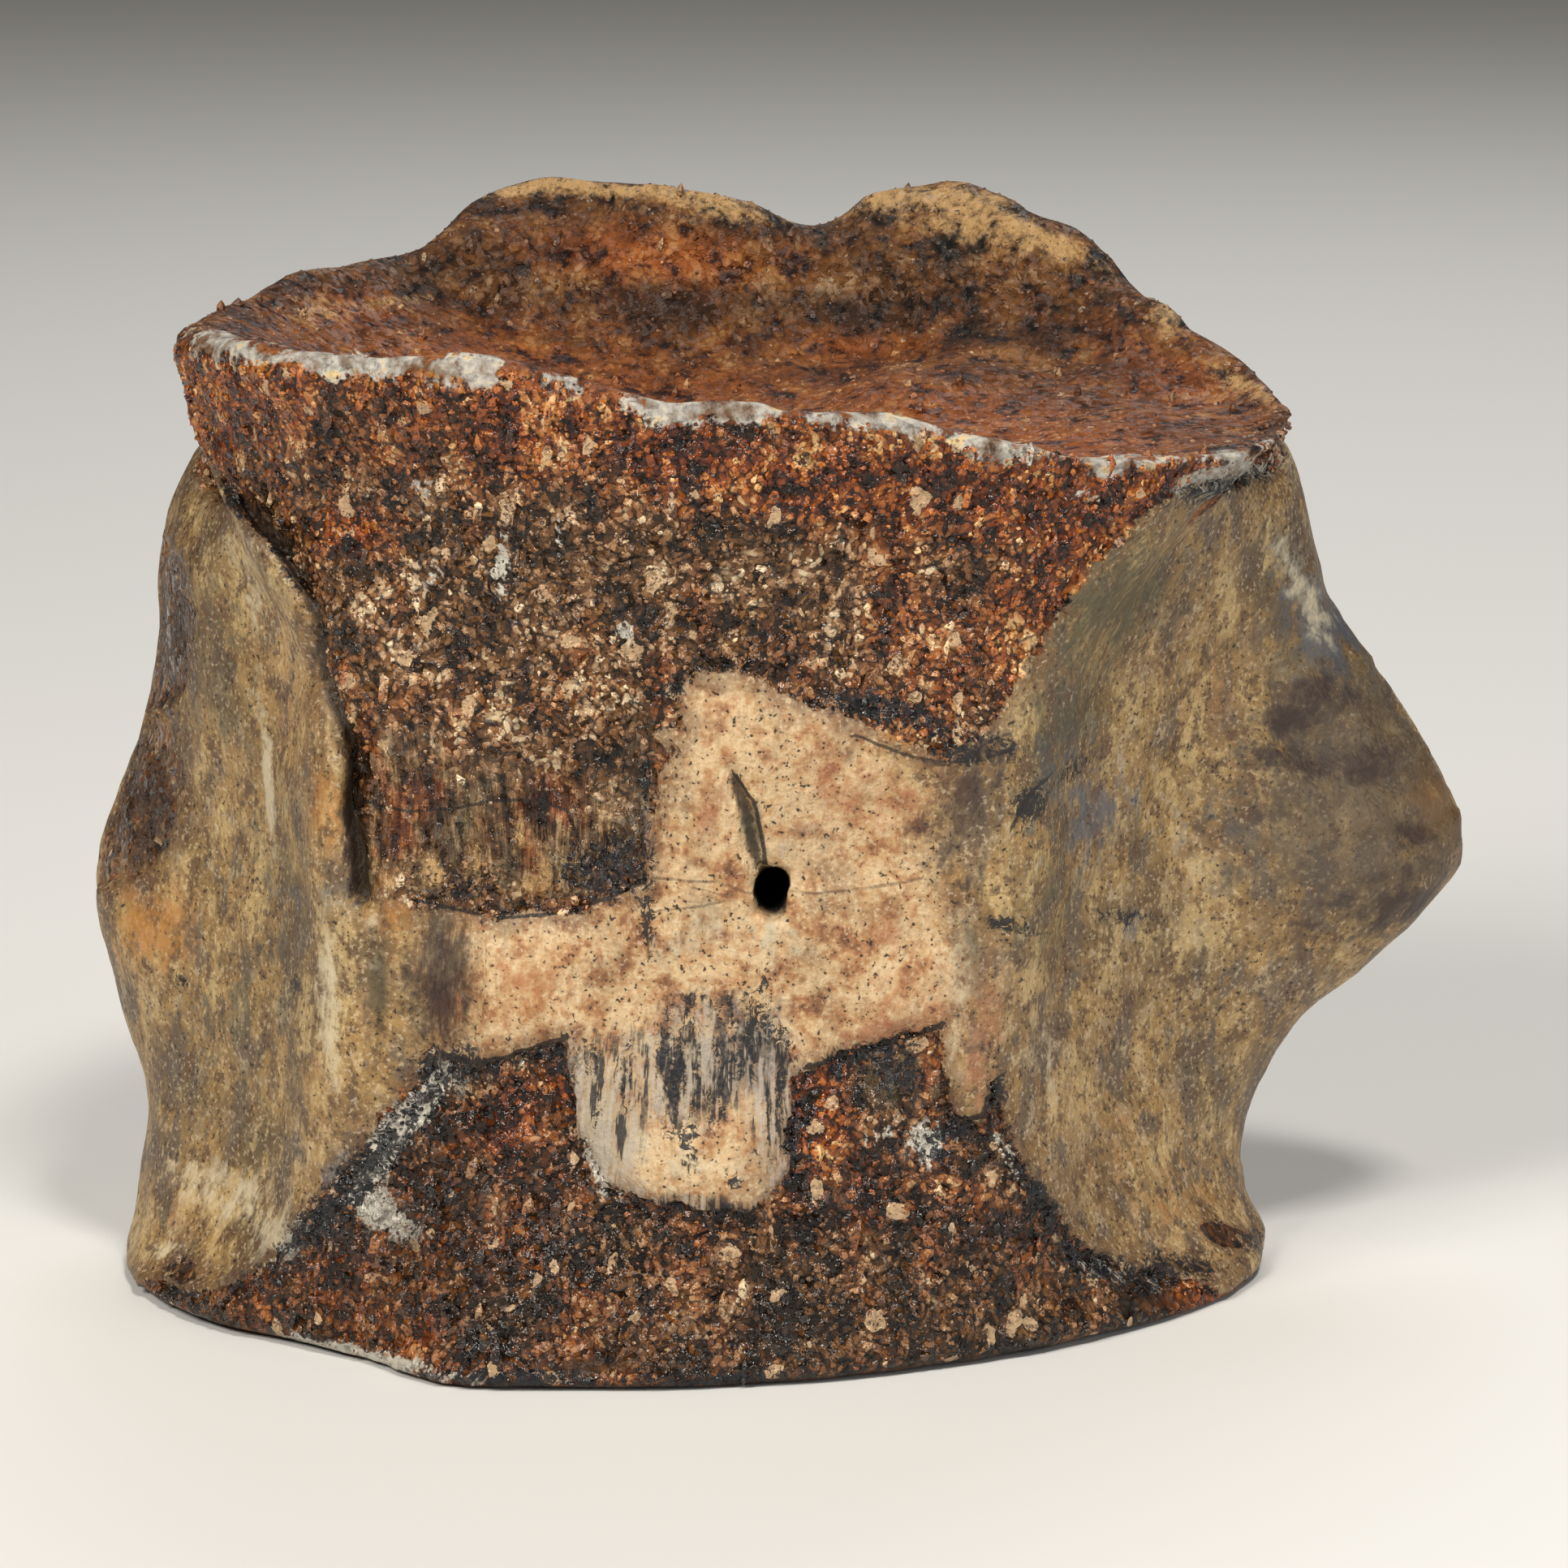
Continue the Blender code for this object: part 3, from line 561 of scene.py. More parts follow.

# %% [markdown]
# ## Cracks, and painted shadow lines
# Hairline cracks are far finer than the mesh. The wider dark lines along the edges of the middle plates
# are painted shadow. Each point keeps its distance to the nearest line, with a sign that changes from
# one side to the other. Between two points the number passes exactly through zero on the line, so the
# material can draw a line a tenth of a millimetre wide there.

# %% Cracks, and painted shadow lines at plate edges, drawn in the picture: (line, half width in mm)
CRACKS_AND_SHADOW_LINES = [
    # The first line is partly a crack and partly painted shadow at the upper edge of the left plate.
    ([(510, 1108), (560, 1120), (615, 1131), (664, 1128), (713, 1120), (754, 1105), (787, 1088)], 0.06),
    ([(806, 1081), (847, 1086), (883, 1086), (924, 1101), (970, 1096), (1000, 1101), (1021, 1099),
      (1062, 1094), (1118, 1086), (1133, 1081)], 0.035),
    ([(812, 1122), (858, 1117), (903, 1107)], 0.03),
    ([(709, 1150), (704, 1214), (702, 1262)], 0.01),
    ([(906, 955), (930, 990), (940, 1035), (947, 1085)], 0.06),
    ([(598, 1130), (600, 1200), (590, 1300)], 0.01), ([(880, 1210), (884, 1260), (890, 1300)], 0.01),
    ([(1105, 1150), (1110, 1200)], 0.01), ([(500, 1240), (520, 1280), (560, 1305)], 0.03),
    # The next three are painted shadows under the lower edges of the plates.
    ([(560, 1305), (592, 1309), (633, 1298), (699, 1277)], 0.12),
    ([(995, 1313), (1041, 1302), (1082, 1288), (1123, 1277), (1159, 1262)], 0.13),
    ([(1176, 1384), (1205, 1372), (1224, 1334)], 0.10),
    ([(440, 985), (500, 1000), (560, 996), (600, 988), (660, 985), (700, 1000), (715, 1040)], 0.05),
    ([(1052, 905), (1100, 925), (1150, 938), (1200, 940), (1245, 925)], 0.05),
    ([(1130, 934), (1160, 960), (1170, 985)], 0.03), ([(1190, 938), (1215, 915), (1240, 905)], 0.04),
    ([(1248, 1020), (1262, 990), (1275, 975), (1292, 958)], 0.05),
    ([(1258, 1000), (1290, 1008)], 0.03), ([(1262, 990), (1248, 968)], 0.03),
    ([(1212, 1132), (1240, 1140), (1265, 1152), (1292, 1150)], 0.03),
    ([(1240, 1140), (1252, 1122)], 0.02), ([(1340, 1118), (1370, 1130), (1400, 1124), (1432, 1140)], 0.02),
    ([(1362, 1118), (1372, 1162)], 0.02),
]
CRACK_AND_SHADOW_REACH = 1.0

crack_and_shadow_gap = np.full(len(points), np.inf)
crack_and_shadow_side = np.ones(len(points))
crack_and_shadow_width = np.zeros(len(points))
for line, width in CRACKS_AND_SHADOW_LINES:
    gap, side = line_gap(line)
    nearer = gap < crack_and_shadow_gap
    crack_and_shadow_gap[nearer], crack_and_shadow_side[nearer] = gap[nearer], (gap * side)[nearer]
    crack_and_shadow_width[nearer] = width
crack_and_shadow_side = np.clip(crack_and_shadow_side, -CRACK_AND_SHADOW_REACH, CRACK_AND_SHADOW_REACH)
crack_and_shadow_gap = np.where(seen > 0.1, np.minimum(crack_and_shadow_gap, CRACK_AND_SHADOW_REACH), CRACK_AND_SHADOW_REACH)
print("cracks:", len(CRACKS_AND_SHADOW_LINES))

# %% [markdown]
# ## Hand the numbers to the material
# A named attribute stores one number per point, and the material reads it by name. That keeps the
# painting fixed to the bone, whichever way it is turned.

# %% Store attributes
HOLE_X, HOLE_Z = -0.54, 20.7
MOUTH_EDGE, MOUTH_SURROUNDS = 1.5, 2.2
FRONT_OF_SPOOL = -8.0


def store(mesh, name, values):
    """One number per point, under a name that the material can read."""
    layer = mesh.attributes.new(name, "FLOAT", "POINT")
    layer.data.foreach_set("value", np.asarray(values, dtype=np.float32))


CREAM_BONE = [(835, 850), (900, 835), (990, 870), (1060, 940), (1100, 1010), (1130, 1100),
              (1150, 1200), (1140, 1265), (1000, 1310), (980, 1440), (918, 1491), (820, 1482), (738, 1449),
              (704, 1280), (591, 1310), (593, 1128), (787, 1090), (800, 960)]
cream = seen * smooth_step(-4.0, 1.6, outline_depth(CREAM_BONE))
from_hole = np.hypot(points[:, 0] - HOLE_X, points[:, 2] - HOLE_Z)
at_front = points[:, 1] < FRONT_OF_SPOOL
around_hole = (from_hole > MOUTH_EDGE) & (from_hole < MOUTH_SURROUNDS) & at_front
mouth = points[around_hole, 1].mean()
# Points inside the vessel hole, which the material paints near black as shade.
hole_shade = (smooth_step(1.35, 1.0, from_hole) * smooth_step(mouth + 0.15, mouth + 0.6, points[:, 1])
           * at_front)
print("mouth of the vessel hole: y =", round(float(mouth), 2), "mm")
BEHIND_RIM = [(150, 150), (1700, 150), (1640, 540), (1560, 540), (1480, 548), (1330, 525),
              (1235, 495), (1150, 476), (950, 478), (800, 452), (760, 425), (620, 405), (430, 398),
              (330, 392), (150, 420)]
worn = np.maximum(ends, seen * smooth_step(-0.3, 0.5, outline_depth(BEHIND_RIM)))
numbers = {
    "sponge_depth": sponge_depth, "crust": crust, "crevice": crevice, "fibrous": fibrous,
    "tongue": tongue, "cream": cream, "hole_shade": hole_shade, "worn": worn,
    "crack_and_shadow_side": crack_and_shadow_side, "crack_and_shadow_gap": crack_and_shadow_gap, "crack_and_shadow_width": crack_and_shadow_width,
}
for name, values in {**numbers, **stains_and_shading}.items():
    store(bone.data, name, values)
layer = bone.data.attributes.new("spool", "FLOAT_VECTOR", "POINT")
layer.data.foreach_set("vector", spool.astype(np.float32).ravel())
print("attributes:", len(numbers) + len(stains_and_shading) + 1)

# %% [markdown]
# ## One finish for the whole bone
# Photographs wrapped on the mesh would be quick, but a material made of nodes has no resolution to run
# out of and no seams. All patterns are measured in millimetres, either in the bone's own space or along
# its straightened grain.

# %% A helper for each kind of node that the finish needs
finish = bpy.data.materials.new("fossil_bone_finish")
finish.use_nodes = True
tree = finish.node_tree
tree.nodes.clear()


def wire(kind, inputs=None, **settings):
    """Adds a node. Another node's output is linked to an input, and anything else is set on it."""
    made = tree.nodes.new(kind)
    for name, value in settings.items():
        setattr(made, name, value)
    for key, value in (inputs or {}).items():
        if isinstance(value, bpy.types.NodeSocket):
            tree.links.new(value, made.inputs[key])
        else:
            made.inputs[key].default_value = value
    return made


def sums(operation, first, second=0.0, third=0.0):
    """Arithmetic on numbers."""
    return wire("ShaderNodeMath", {0: first, 1: second, 2: third}, operation=operation).outputs[0]


def times(first, second):
    """One number times another."""
    return sums("MULTIPLY", first, second)


def swing(noise_value, reach, around=0.0):
    """Noise, which stays between 0 and 1, made to swing to either side of another number."""
    return sums("MULTIPLY_ADD", sums("SUBTRACT", noise_value, 0.5), reach, around)


def blended(share, under, over):
    """One number faded into another."""
    return wire("ShaderNodeMix", {0: share, 2: under, 3: over}).outputs[0]


def number(name):
    """A number that the mesh stores under a name."""
    return wire("ShaderNodeAttribute", attribute_name=name).outputs["Fac"]


def between(value, low, high):
    """0 where the value is at low, 1 where it is at high, smooth between. Low may be above high."""
    inputs = {"Value": value, "From Min": low, "From Max": high}
    return wire("ShaderNodeMapRange", inputs, interpolation_type="SMOOTHSTEP").outputs["Result"]


def vectors(operation, first, second=(0.0, 0.0, 0.0)):
    """Arithmetic on places and directions."""
    return wire("ShaderNodeVectorMath", {0: first, 1: second}, operation=operation).outputs[0]


def stretched(place, scale):
    """A place multiplied along each axis."""
    return vectors("MULTIPLY", place, scale)


def scaled(vector, factor):
    """A vector made longer or shorter."""
    return wire("ShaderNodeVectorMath", {0: vector, "Scale": factor}, operation="SCALE").outputs[0]


def clouds(place, size, detail=2.0, rough=0.5, warp=0.0):
    """Noise of about 0.25 to 0.75 with lumps of a size in mm."""
    inputs = {"Vector": place, "Scale": 1 / size, "Detail": detail, "Roughness": rough,
              "Distortion": warp}
    return wire("ShaderNodeTexNoise", inputs).outputs["Fac"]


def crumbs(place, size):
    """Cells of a size in mm: the distance to each cell's seed, and a random colour for each cell."""
    return wire("ShaderNodeTexVoronoi", {"Vector": place, "Scale": 1 / size})


def mixed(share, under, over, how="MIX"):
    """Lays one colour over another."""
    made = wire("ShaderNodeMix", {0: share, 6: under, 7: over}, data_type="RGBA", blend_type=how)
    return made.outputs[2]


def srgb(red, green, blue):
    """A colour as a picture stores it, 0 to 255, turned into the light that Blender reckons with."""
    shares = [value / 255 for value in (red, green, blue)]
    return tuple(s / 12.92 if s <= 0.04045 else ((s + 0.055) / 1.055) ** 2.4 for s in shares) + (1.0,)


def ramp(value, stops):
    """A colour picked by a number from a row of (place, colour)."""
    made = wire("ShaderNodeValToRGB", {0: value})
    elements = made.color_ramp.elements
    while len(elements) < len(stops):
        elements.new(1.0)
    for element, (place, colour) in zip(elements, stops):
        element.position, element.color = place, colour
    return made.outputs["Color"]


object_space = wire("ShaderNodeTexCoord").outputs["Object"]
place = stretched(object_space, (1 / MM, 1 / MM, 1 / MM))
grain_place = wire("ShaderNodeAttribute", attribute_name="spool").outputs["Vector"]
print("finish started with", len(tree.nodes), "nodes")

# %% [markdown]
# ## Colour of the smooth bone
# Cortex is compact bone: cream where it is clean, tan to olive where soil has stained it, striped along
# the grain and pricked with pores. Noise of several sizes, from 7 mm down to a fifth of a millimetre,
# gives the drift of colour, the mottling and the specks, since one size alone looks like marble.

# %% Smooth bone: drift of colour, mottling
drift = clouds(place, 7.0, 2.0, 0.55)
mottle = clouds(place, 1.1, 4.0, 0.68)
smooth_colour = ramp(drift, [
    (0.30, srgb(96, 80, 54)), (0.42, srgb(134, 107, 66)), (0.50, srgb(158, 126, 76)),
    (0.58, srgb(128, 99, 61)), (0.68, srgb(174, 142, 94))])
patches = clouds(stretched(place, (1.0, 1.0, 0.6)), 2.2, 3.0, 0.66)


def marked(under, value, low, high, strength, over):
    """Lays a colour over another where a value nears high."""
    return mixed(times(between(value, low, high), strength), under, over)


smooth_colour = marked(smooth_colour, patches, 0.49, 0.39, 0.85, srgb(92, 80, 68))
smooth_colour = marked(smooth_colour, patches, 0.54, 0.62, 0.75, srgb(192, 164, 112))
smooth_colour = marked(smooth_colour, mottle, 0.49, 0.37, 0.85, srgb(92, 66, 44))
smooth_colour = marked(smooth_colour, mottle, 0.55, 0.64, 0.65, srgb(198, 180, 142))
cream_patches = sums("MULTIPLY_ADD", clouds(place, 1.4, 3.0, 0.68), 0.8, times(drift, 0.2))
cream_colour = ramp(cream_patches, [
    (0.34, srgb(118, 76, 50)), (0.41, srgb(166, 118, 78)), (0.47, srgb(188, 150, 106)),
    (0.55, srgb(208, 180, 140)), (0.62, srgb(186, 144, 102)), (0.70, srgb(136, 92, 62))])
dirt_depth = swing(mottle, 3.0, number("sponge_depth"))
edge_dirt = between(dirt_depth, -1.3, -0.1)
cream_edge = swing(mottle, 1.8)
cream_share = between(sums("ADD", number("cream"), cream_edge), -0.1, 1.0)
smooth_colour = mixed(cream_share, smooth_colour, cream_colour)
smooth_colour = mixed(times(edge_dirt, 0.6), smooth_colour, srgb(92, 62, 40))

# %% Strokes along the grain, and pores
strokes = clouds(stretched(grain_place, (1.0, 1.0, 0.24)), 0.50, 3.0, 0.68)
stroke_strength = sums("MULTIPLY_ADD", cream_share, -0.20, 0.40)
smooth_colour = marked(smooth_colour, strokes, 0.47, 0.33, stroke_strength, srgb(84, 74, 60))
specks = clouds(place, 0.22, 1.0, 0.7)
smooth_colour = marked(smooth_colour, specks, 0.42, 0.28, 0.65, srgb(70, 52, 38))
smooth_colour = marked(smooth_colour, specks, 0.56, 0.70, 0.35, srgb(226, 206, 170))
pores = between(specks, 0.325, 0.295)
smooth_colour = mixed(times(pores, 0.85), smooth_colour, srgb(34, 28, 24))
print("smooth bone:", len(tree.nodes), "nodes so far")

# %% [markdown]
# ## Colour of the spongy bone
# Each little strut of spongy bone, and each crystal between them, has its own tint, from cream through
# orange to a brown that is nearly black. Voronoi cells are just that: every cell gets one random number,
# and the number picks a colour from a ramp.

# %% Spongy bone


def pushed_about(place):
    """A place moved by up to a fifth of a millimetre, so that cells don't stand in rows."""
    push = wire("ShaderNodeTexNoise", {"Vector": place, "Scale": 1.1, "Detail": 0.0}).outputs["Color"]
    return wire("ShaderNodeVectorMath", {0: push, 1: (0.7, 0.7, 0.7), 2: place},
                operation="MULTIPLY_ADD").outputs[0]


uneven = pushed_about(place)
large_crumbs = crumbs(stretched(uneven, (1.0, 1.0, 0.75)), 0.85)
small_crumbs = crumbs(uneven, 0.28)
large_pick = wire("ShaderNodeSeparateColor", {"Color": large_crumbs.outputs["Color"]})
small_pick = wire("ShaderNodeSeparateColor", {"Color": small_crumbs.outputs["Color"]})
small_share = times(small_pick.outputs["Blue"], 0.52)
tint = sums("MULTIPLY_ADD", large_pick.outputs["Green"], 0.38, small_share)
regions = clouds(place, 2.2, 3.0, 0.6)
tint = swing(regions, 1.5, tint)


def painted_shade_low_down(tint, place):
    """Painted shade: makes a tint darker towards the edge that the bone stands on."""
    level = wire("ShaderNodeSeparateXYZ", {0: place}).outputs["Z"]
    return sums("MULTIPLY_ADD", between(level, 20.0, 4.0), -0.17, tint)


tint = painted_shade_low_down(tint, place)


def spongy_tints(tint, rust_cloud):
    """Rusty or earthy brown for a tint from 0, dark, to 1, cream. Iron decides which of the two."""
    rusty = ramp(tint, [
        (0.05, srgb(30, 14, 5)), (0.20, srgb(68, 29, 8)), (0.38, srgb(126, 56, 15)),
        (0.56, srgb(172, 88, 26)), (0.74, srgb(200, 122, 52)), (0.92, srgb(228, 180, 116))])
    earthy = ramp(tint, [
        (0.05, srgb(28, 18, 9)), (0.20, srgb(60, 39, 18)), (0.38, srgb(98, 64, 30)),
        (0.58, srgb(142, 98, 58)), (0.76, srgb(182, 144, 106)), (0.93, srgb(228, 204, 166))])
    iron_more = sums("SUBTRACT", number("iron"), number("grey"))
    rust_share = sums("MULTIPLY_ADD", iron_more, 0.42, rust_cloud)
    return mixed(between(rust_share, 0.30, 0.78), earthy, rusty)


iron = number("iron")
spongy_colour = spongy_tints(tint, patches)
# Painted shade: the low places of the spongy bone's bump relief are darkened.
hollow_shade = between(mottle, 0.47, 0.33)
spongy_colour = mixed(0.33, spongy_colour, srgb(30, 15, 7))
spongy_colour = mixed(times(hollow_shade, 0.75), spongy_colour, srgb(60, 38, 28), "MULTIPLY")
# Painted shade: the seams between crumbs, where their leaning faces meet, are darkened.
seam_shade = between(small_crumbs.outputs["Distance"], 0.45, 0.80)
spongy_colour = mixed(times(seam_shade, 0.9), spongy_colour, srgb(50, 34, 26), "MULTIPLY")
fleck_edge = sums("MULTIPLY_ADD", mottle, 1.6, -0.38)
fleck_size = times(between(large_pick.outputs["Red"], 0.74, 0.98), fleck_edge)
fleck_size = sums("MULTIPLY_ADD", number("worn"), -0.25, fleck_size)
flecks = sums("GREATER_THAN", fleck_size, large_crumbs.outputs["Distance"])
spongy_colour = mixed(times(flecks, 0.8), spongy_colour, srgb(196, 164, 126))
worn_colour = ramp(regions, [
    (0.32, srgb(20, 12, 5)), (0.44, srgb(48, 28, 9)), (0.54, srgb(78, 46, 14)),
    (0.68, srgb(116, 78, 34))])
worn_colour = mixed(times(iron, 0.75), worn_colour, srgb(160, 84, 30))
# Painted shade: the low places of the worn ends' bump relief are darkened.
worn_colour = mixed(between(mottle, 0.50, 0.36), worn_colour, srgb(90, 60, 44), "MULTIPLY")
spongy_colour = mixed(times(number("worn"), 0.75), spongy_colour, worn_colour)
print("spongy bone:", len(tree.nodes), "nodes so far")

# %% [markdown]
# ## Put the layers on each other
# Spongy bone covers smooth bone where its depth is above zero. Fine noise is added to the depth first,
# so the border frays at a scale that the mesh can't hold. Bare fibres are noise stretched along the
# grain, and the tongue of the middle plate has coarser streaks of the same kind, black and whitish.

# %% Where the spongy bone, the bare fibres and the streaked tongue show
fray = swing(clouds(place, 0.5, 3.0, 0.7), 1.0)
sponge_share = between(sums("ADD", number("sponge_depth"), fray), -0.04, 0.08)
strand = clouds(stretched(grain_place, (1.0, 1.0, 0.14)), 0.36, 3.0, 0.74)
strand_tint = swing(regions, 0.55, strand)
strand_colour = ramp(strand_tint, [
    (0.33, srgb(14, 10, 8)), (0.42, srgb(52, 34, 22)), (0.50, srgb(92, 64, 38)),
    (0.57, srgb(118, 90, 60)), (0.67, srgb(176, 146, 106))])
rusty_strands = times(between(patches, 0.52, 0.62), 0.7)
strand_colour = mixed(rusty_strands, strand_colour, srgb(178, 104, 48), "OVERLAY")
strand_colour = marked(strand_colour, patches, 0.48, 0.40, 0.45, srgb(108, 100, 78))
fibre_share = between(sums("ADD", number("fibrous"), fray), 0.30, 0.85)
tongue_share = between(sums("ADD", number("tongue"), fray), 0.25, 0.85)

# %% Stains, and painted shade and highlights, with edges broken up by noise: kind, colour, strength
STAIN_AND_SHADING_COLOURS = [
    ("ochre", srgb(176, 118, 52), 0.7), ("rose", srgb(160, 102, 70), 0.6),
    ("olive", srgb(74, 70, 48), 0.82), ("grey", srgb(76, 66, 54), 0.75),
    ("blue", srgb(70, 80, 94), 0.7), ("pale", srgb(204, 190, 160), 0.8),
    ("purple", srgb(52, 36, 32), 0.85)]
lace = clouds(stretched(grain_place, (1.0, 1.0, 0.45)), 0.50, 3.0, 0.72)
uneven_edge = swing(mottle, 1.8, swing(lace, 1.6))


def stained_and_shaded(under, kind, stain_colour, strength):
    """Lays one kind of soft spots over a colour: mostly stains, a few painted shade and highlights."""
    amount = number(kind)
    cover = between(sums("ADD", amount, uneven_edge), 0.20, 0.95)
    cover = times(cover, between(amount, 0.0, 0.3))
    return mixed(times(cover, strength), under, stain_colour)


smooth_colour = mixed(times(fibre_share, 0.85), smooth_colour, strand_colour)
deep_colour = mixed(times(fibre_share, 0.85), spongy_colour, strand_colour)
for kind, stain_colour, strength in STAIN_AND_SHADING_COLOURS:
    smooth_colour = stained_and_shaded(smooth_colour, kind, stain_colour, strength)
streaks = clouds(stretched(grain_place, (1.0, 1.0, 0.20)), 0.75, 3.0, 0.75)
smooth_colour = mixed(times(tongue_share, 0.5), smooth_colour, srgb(128, 108, 86))
white_streaks = times(between(streaks, 0.51, 0.60), times(tongue_share, 0.65))
smooth_colour = mixed(white_streaks, smooth_colour, srgb(178, 168, 156))
dark_streaks = times(between(streaks, 0.48, 0.43), times(tongue_share, 0.9))
smooth_colour = mixed(dark_streaks, smooth_colour, srgb(24, 26, 34))
pale_cover = between(sums("ADD", number("pale"), uneven_edge), 0.42, 0.62)
pale_cover = times(pale_cover, between(number("pale"), 0.05, 0.3))
deep_colour = mixed(times(pale_cover, 0.85), deep_colour, srgb(196, 190, 176))
deep_colour = stained_and_shaded(deep_colour, "purple", srgb(40, 24, 14), 0.7)
deep_colour = stained_and_shaded(deep_colour, "tan", srgb(176, 140, 92), 0.9)
colour = mixed(sponge_share, smooth_colour, deep_colour)
print("stains:", len(tree.nodes), "nodes so far")

# %% [markdown]
# ## Crust, manganese, cracks and painted shade
# Lime crust lies on top of the spongy bone. Manganese is drawn last, because it grew through everything:
# a noise with strong warp and a narrow threshold gives its ferny edge.

# %% Crust
crust_noise = clouds(stretched(place, (1.0, 0.5, 1.0)), 0.9, 4.0, 0.62)
crust_depth = swing(crust_noise, 3.0, number("crust"))
crust_share = between(crust_depth, -0.25, 0.10)
crust_colour = ramp(crust_noise, [
    (0.36, srgb(92, 66, 44)), (0.46, srgb(138, 126, 112)), (0.54, srgb(168, 164, 156)),
    (0.60, srgb(190, 184, 170)), (0.68, srgb(208, 182, 130))])
colour = mixed(times(crust_share, 0.92), colour, crust_colour)

# %% Manganese, cracks, and painted shade of shadow lines, crevices and the vessel hole
fern = clouds(place, 0.55, 3.0, 0.8, 1.6)
# Black spots are mostly manganese; the two beside the middle plate's left edge are painted shadow.
black = number("black")
black_share = between(swing(fern, 3.4, black), 0.46, 0.58)
black_share = times(black_share, between(black, 0.08, 0.3))
black_share = times(black_share, between(lace, 0.66, 0.52))
between_streaks = times(between(streaks, 0.49, 0.56), tongue_share)
between_streaks = times(between_streaks, 0.85)
black_share = times(black_share, sums("SUBTRACT", 1.0, between_streaks))
black_colour = mixed(mottle, srgb(8, 8, 10), srgb(26, 30, 38))
colour = mixed(times(black_share, 0.93), colour, black_colour)

# Cracks, and painted shadow lines at plate edges, drawn dark; the wider lines are darker.
from_crack_and_shadow = sums("ABSOLUTE", sums("MULTIPLY_ADD", fray, 0.22, number("crack_and_shadow_side")))
crack_and_shadow_width = number("crack_and_shadow_width")
crack_and_shadow_share = between(sums("SUBTRACT", from_crack_and_shadow, crack_and_shadow_width), 0.05, 0.0)
crack_and_shadow_share = times(crack_and_shadow_share, between(number("crack_and_shadow_gap"), 0.34, 0.24))
crack_and_shadow_seen = between(sums("MULTIPLY_ADD", crack_and_shadow_width, 6.0, mottle), 0.50, 0.72)
crack_and_shadow_share = times(crack_and_shadow_share, crack_and_shadow_seen)
crack_and_shadow_strength = sums("MULTIPLY_ADD", between(crack_and_shadow_width, 0.03, 0.06), 0.45, 0.45)
colour = mixed(times(crack_and_shadow_share, crack_and_shadow_strength), colour, srgb(24, 17, 14))
# Painted shade: the crevice and grooves are darkened to dark brown, as if in shadow.
shade = between(sums("ADD", number("crevice"), fray), 0.28, 0.75)
colour = mixed(times(shade, 0.85), colour, srgb(38, 27, 17))
# Painted shade: the inside of the vessel hole is near black.
colour = mixed(number("hole_shade"), colour, srgb(8, 6, 5))
print("colour complete:", len(tree.nodes), "nodes")

# %% [markdown]
# ## Relief finer than the mesh, and gloss
# Strokes and mottling are added up as one height in millimetres for a single Bump node. Each
# crumb of the spongy bone also leans its own way, like the face of a crystal, and some are glossy, so
# it glitters under a small light. The smooth bone is satin, and the crust is dull.

# %% Bump and gloss
smooth_relief = sums("MULTIPLY_ADD", strokes, 0.12, times(mottle, 0.20))
spongy_relief = times(mottle, 0.36)
spongy_here = between(number("sponge_depth"), -0.05, 0.10)
relief = blended(spongy_here, smooth_relief, spongy_relief)
relief = sums("MULTIPLY_ADD", times(strokes, number("fibrous")), 0.34, relief)
crusted_here = between(number("crust"), -0.1, 0.2)
relief = blended(crusted_here, relief, times(mottle, 0.2))
facet = vectors("SUBTRACT", small_crumbs.outputs["Color"], (0.5, 0.5, 0.5))
leaning = scaled(facet, times(sponge_share, 1.1))
outwards = wire("ShaderNodeNewGeometry").outputs["Normal"]
tilted = vectors("NORMALIZE", vectors("ADD", outwards, leaning))
bump = wire("ShaderNodeBump", {"Height": relief, "Distance": MM, "Strength": 1.0, "Normal": tilted})

spongy_gloss = sums("MULTIPLY_ADD", between(small_pick.outputs["Red"], 0.45, 0.75), 0.45, 0.06)
spongy_gloss = sums("MULTIPLY_ADD", number("worn"), 0.5, spongy_gloss)
smooth_gloss = sums("MULTIPLY_ADD", mottle, 0.35, 0.34)
roughness = blended(crust_share, blended(sponge_share, smooth_gloss, spongy_gloss), 0.75)

surface = wire("ShaderNodeBsdfPrincipled", {
    "Base Color": colour, "Roughness": roughness, "Normal": bump.outputs["Normal"], "IOR": 1.5,
    "Specular IOR Level": 0.4})
wire("ShaderNodeOutputMaterial", {"Surface": surface.outputs["BSDF"]})
bone.data.materials.clear()
bone.data.materials.append(finish)
print("finish:", len(tree.nodes), "nodes")

# %% [markdown]
# ## Grains that stand out of the spongy bone
# The surface of worn spongy bone is a crust of tiny struts, crystals and stuck sand. Bump alone leaves
# its outline smooth, so thousands of small facetted grains are scattered on it as real mesh. Geometry
# Nodes suit that: Poisson sampling keeps the grains apart, and a fixed seed repeats them exactly.

# %% The scatter tree
tree = bpy.data.node_groups.new("scatter_grains", "GeometryNodeTree")
tree.is_modifier = True
tree.interface.new_socket("Geometry", in_out="INPUT", socket_type="NodeSocketGeometry")
GRAIN_SIZES = ["Smallest radius", "Largest radius", "Sunk", "Spacing", "Per square metre", "On worn ends"]
sockets = {name: tree.interface.new_socket(name, in_out="INPUT", socket_type="NodeSocketFloat")
           for name in GRAIN_SIZES}
sockets["Seed"] = tree.interface.new_socket("Seed", in_out="INPUT", socket_type="NodeSocketInt")
sockets["Finish"] = tree.interface.new_socket("Finish", in_out="INPUT", socket_type="NodeSocketMaterial")
tree.interface.new_socket("Geometry", in_out="OUTPUT", socket_type="NodeSocketGeometry")
given = wire("NodeGroupInput").outputs


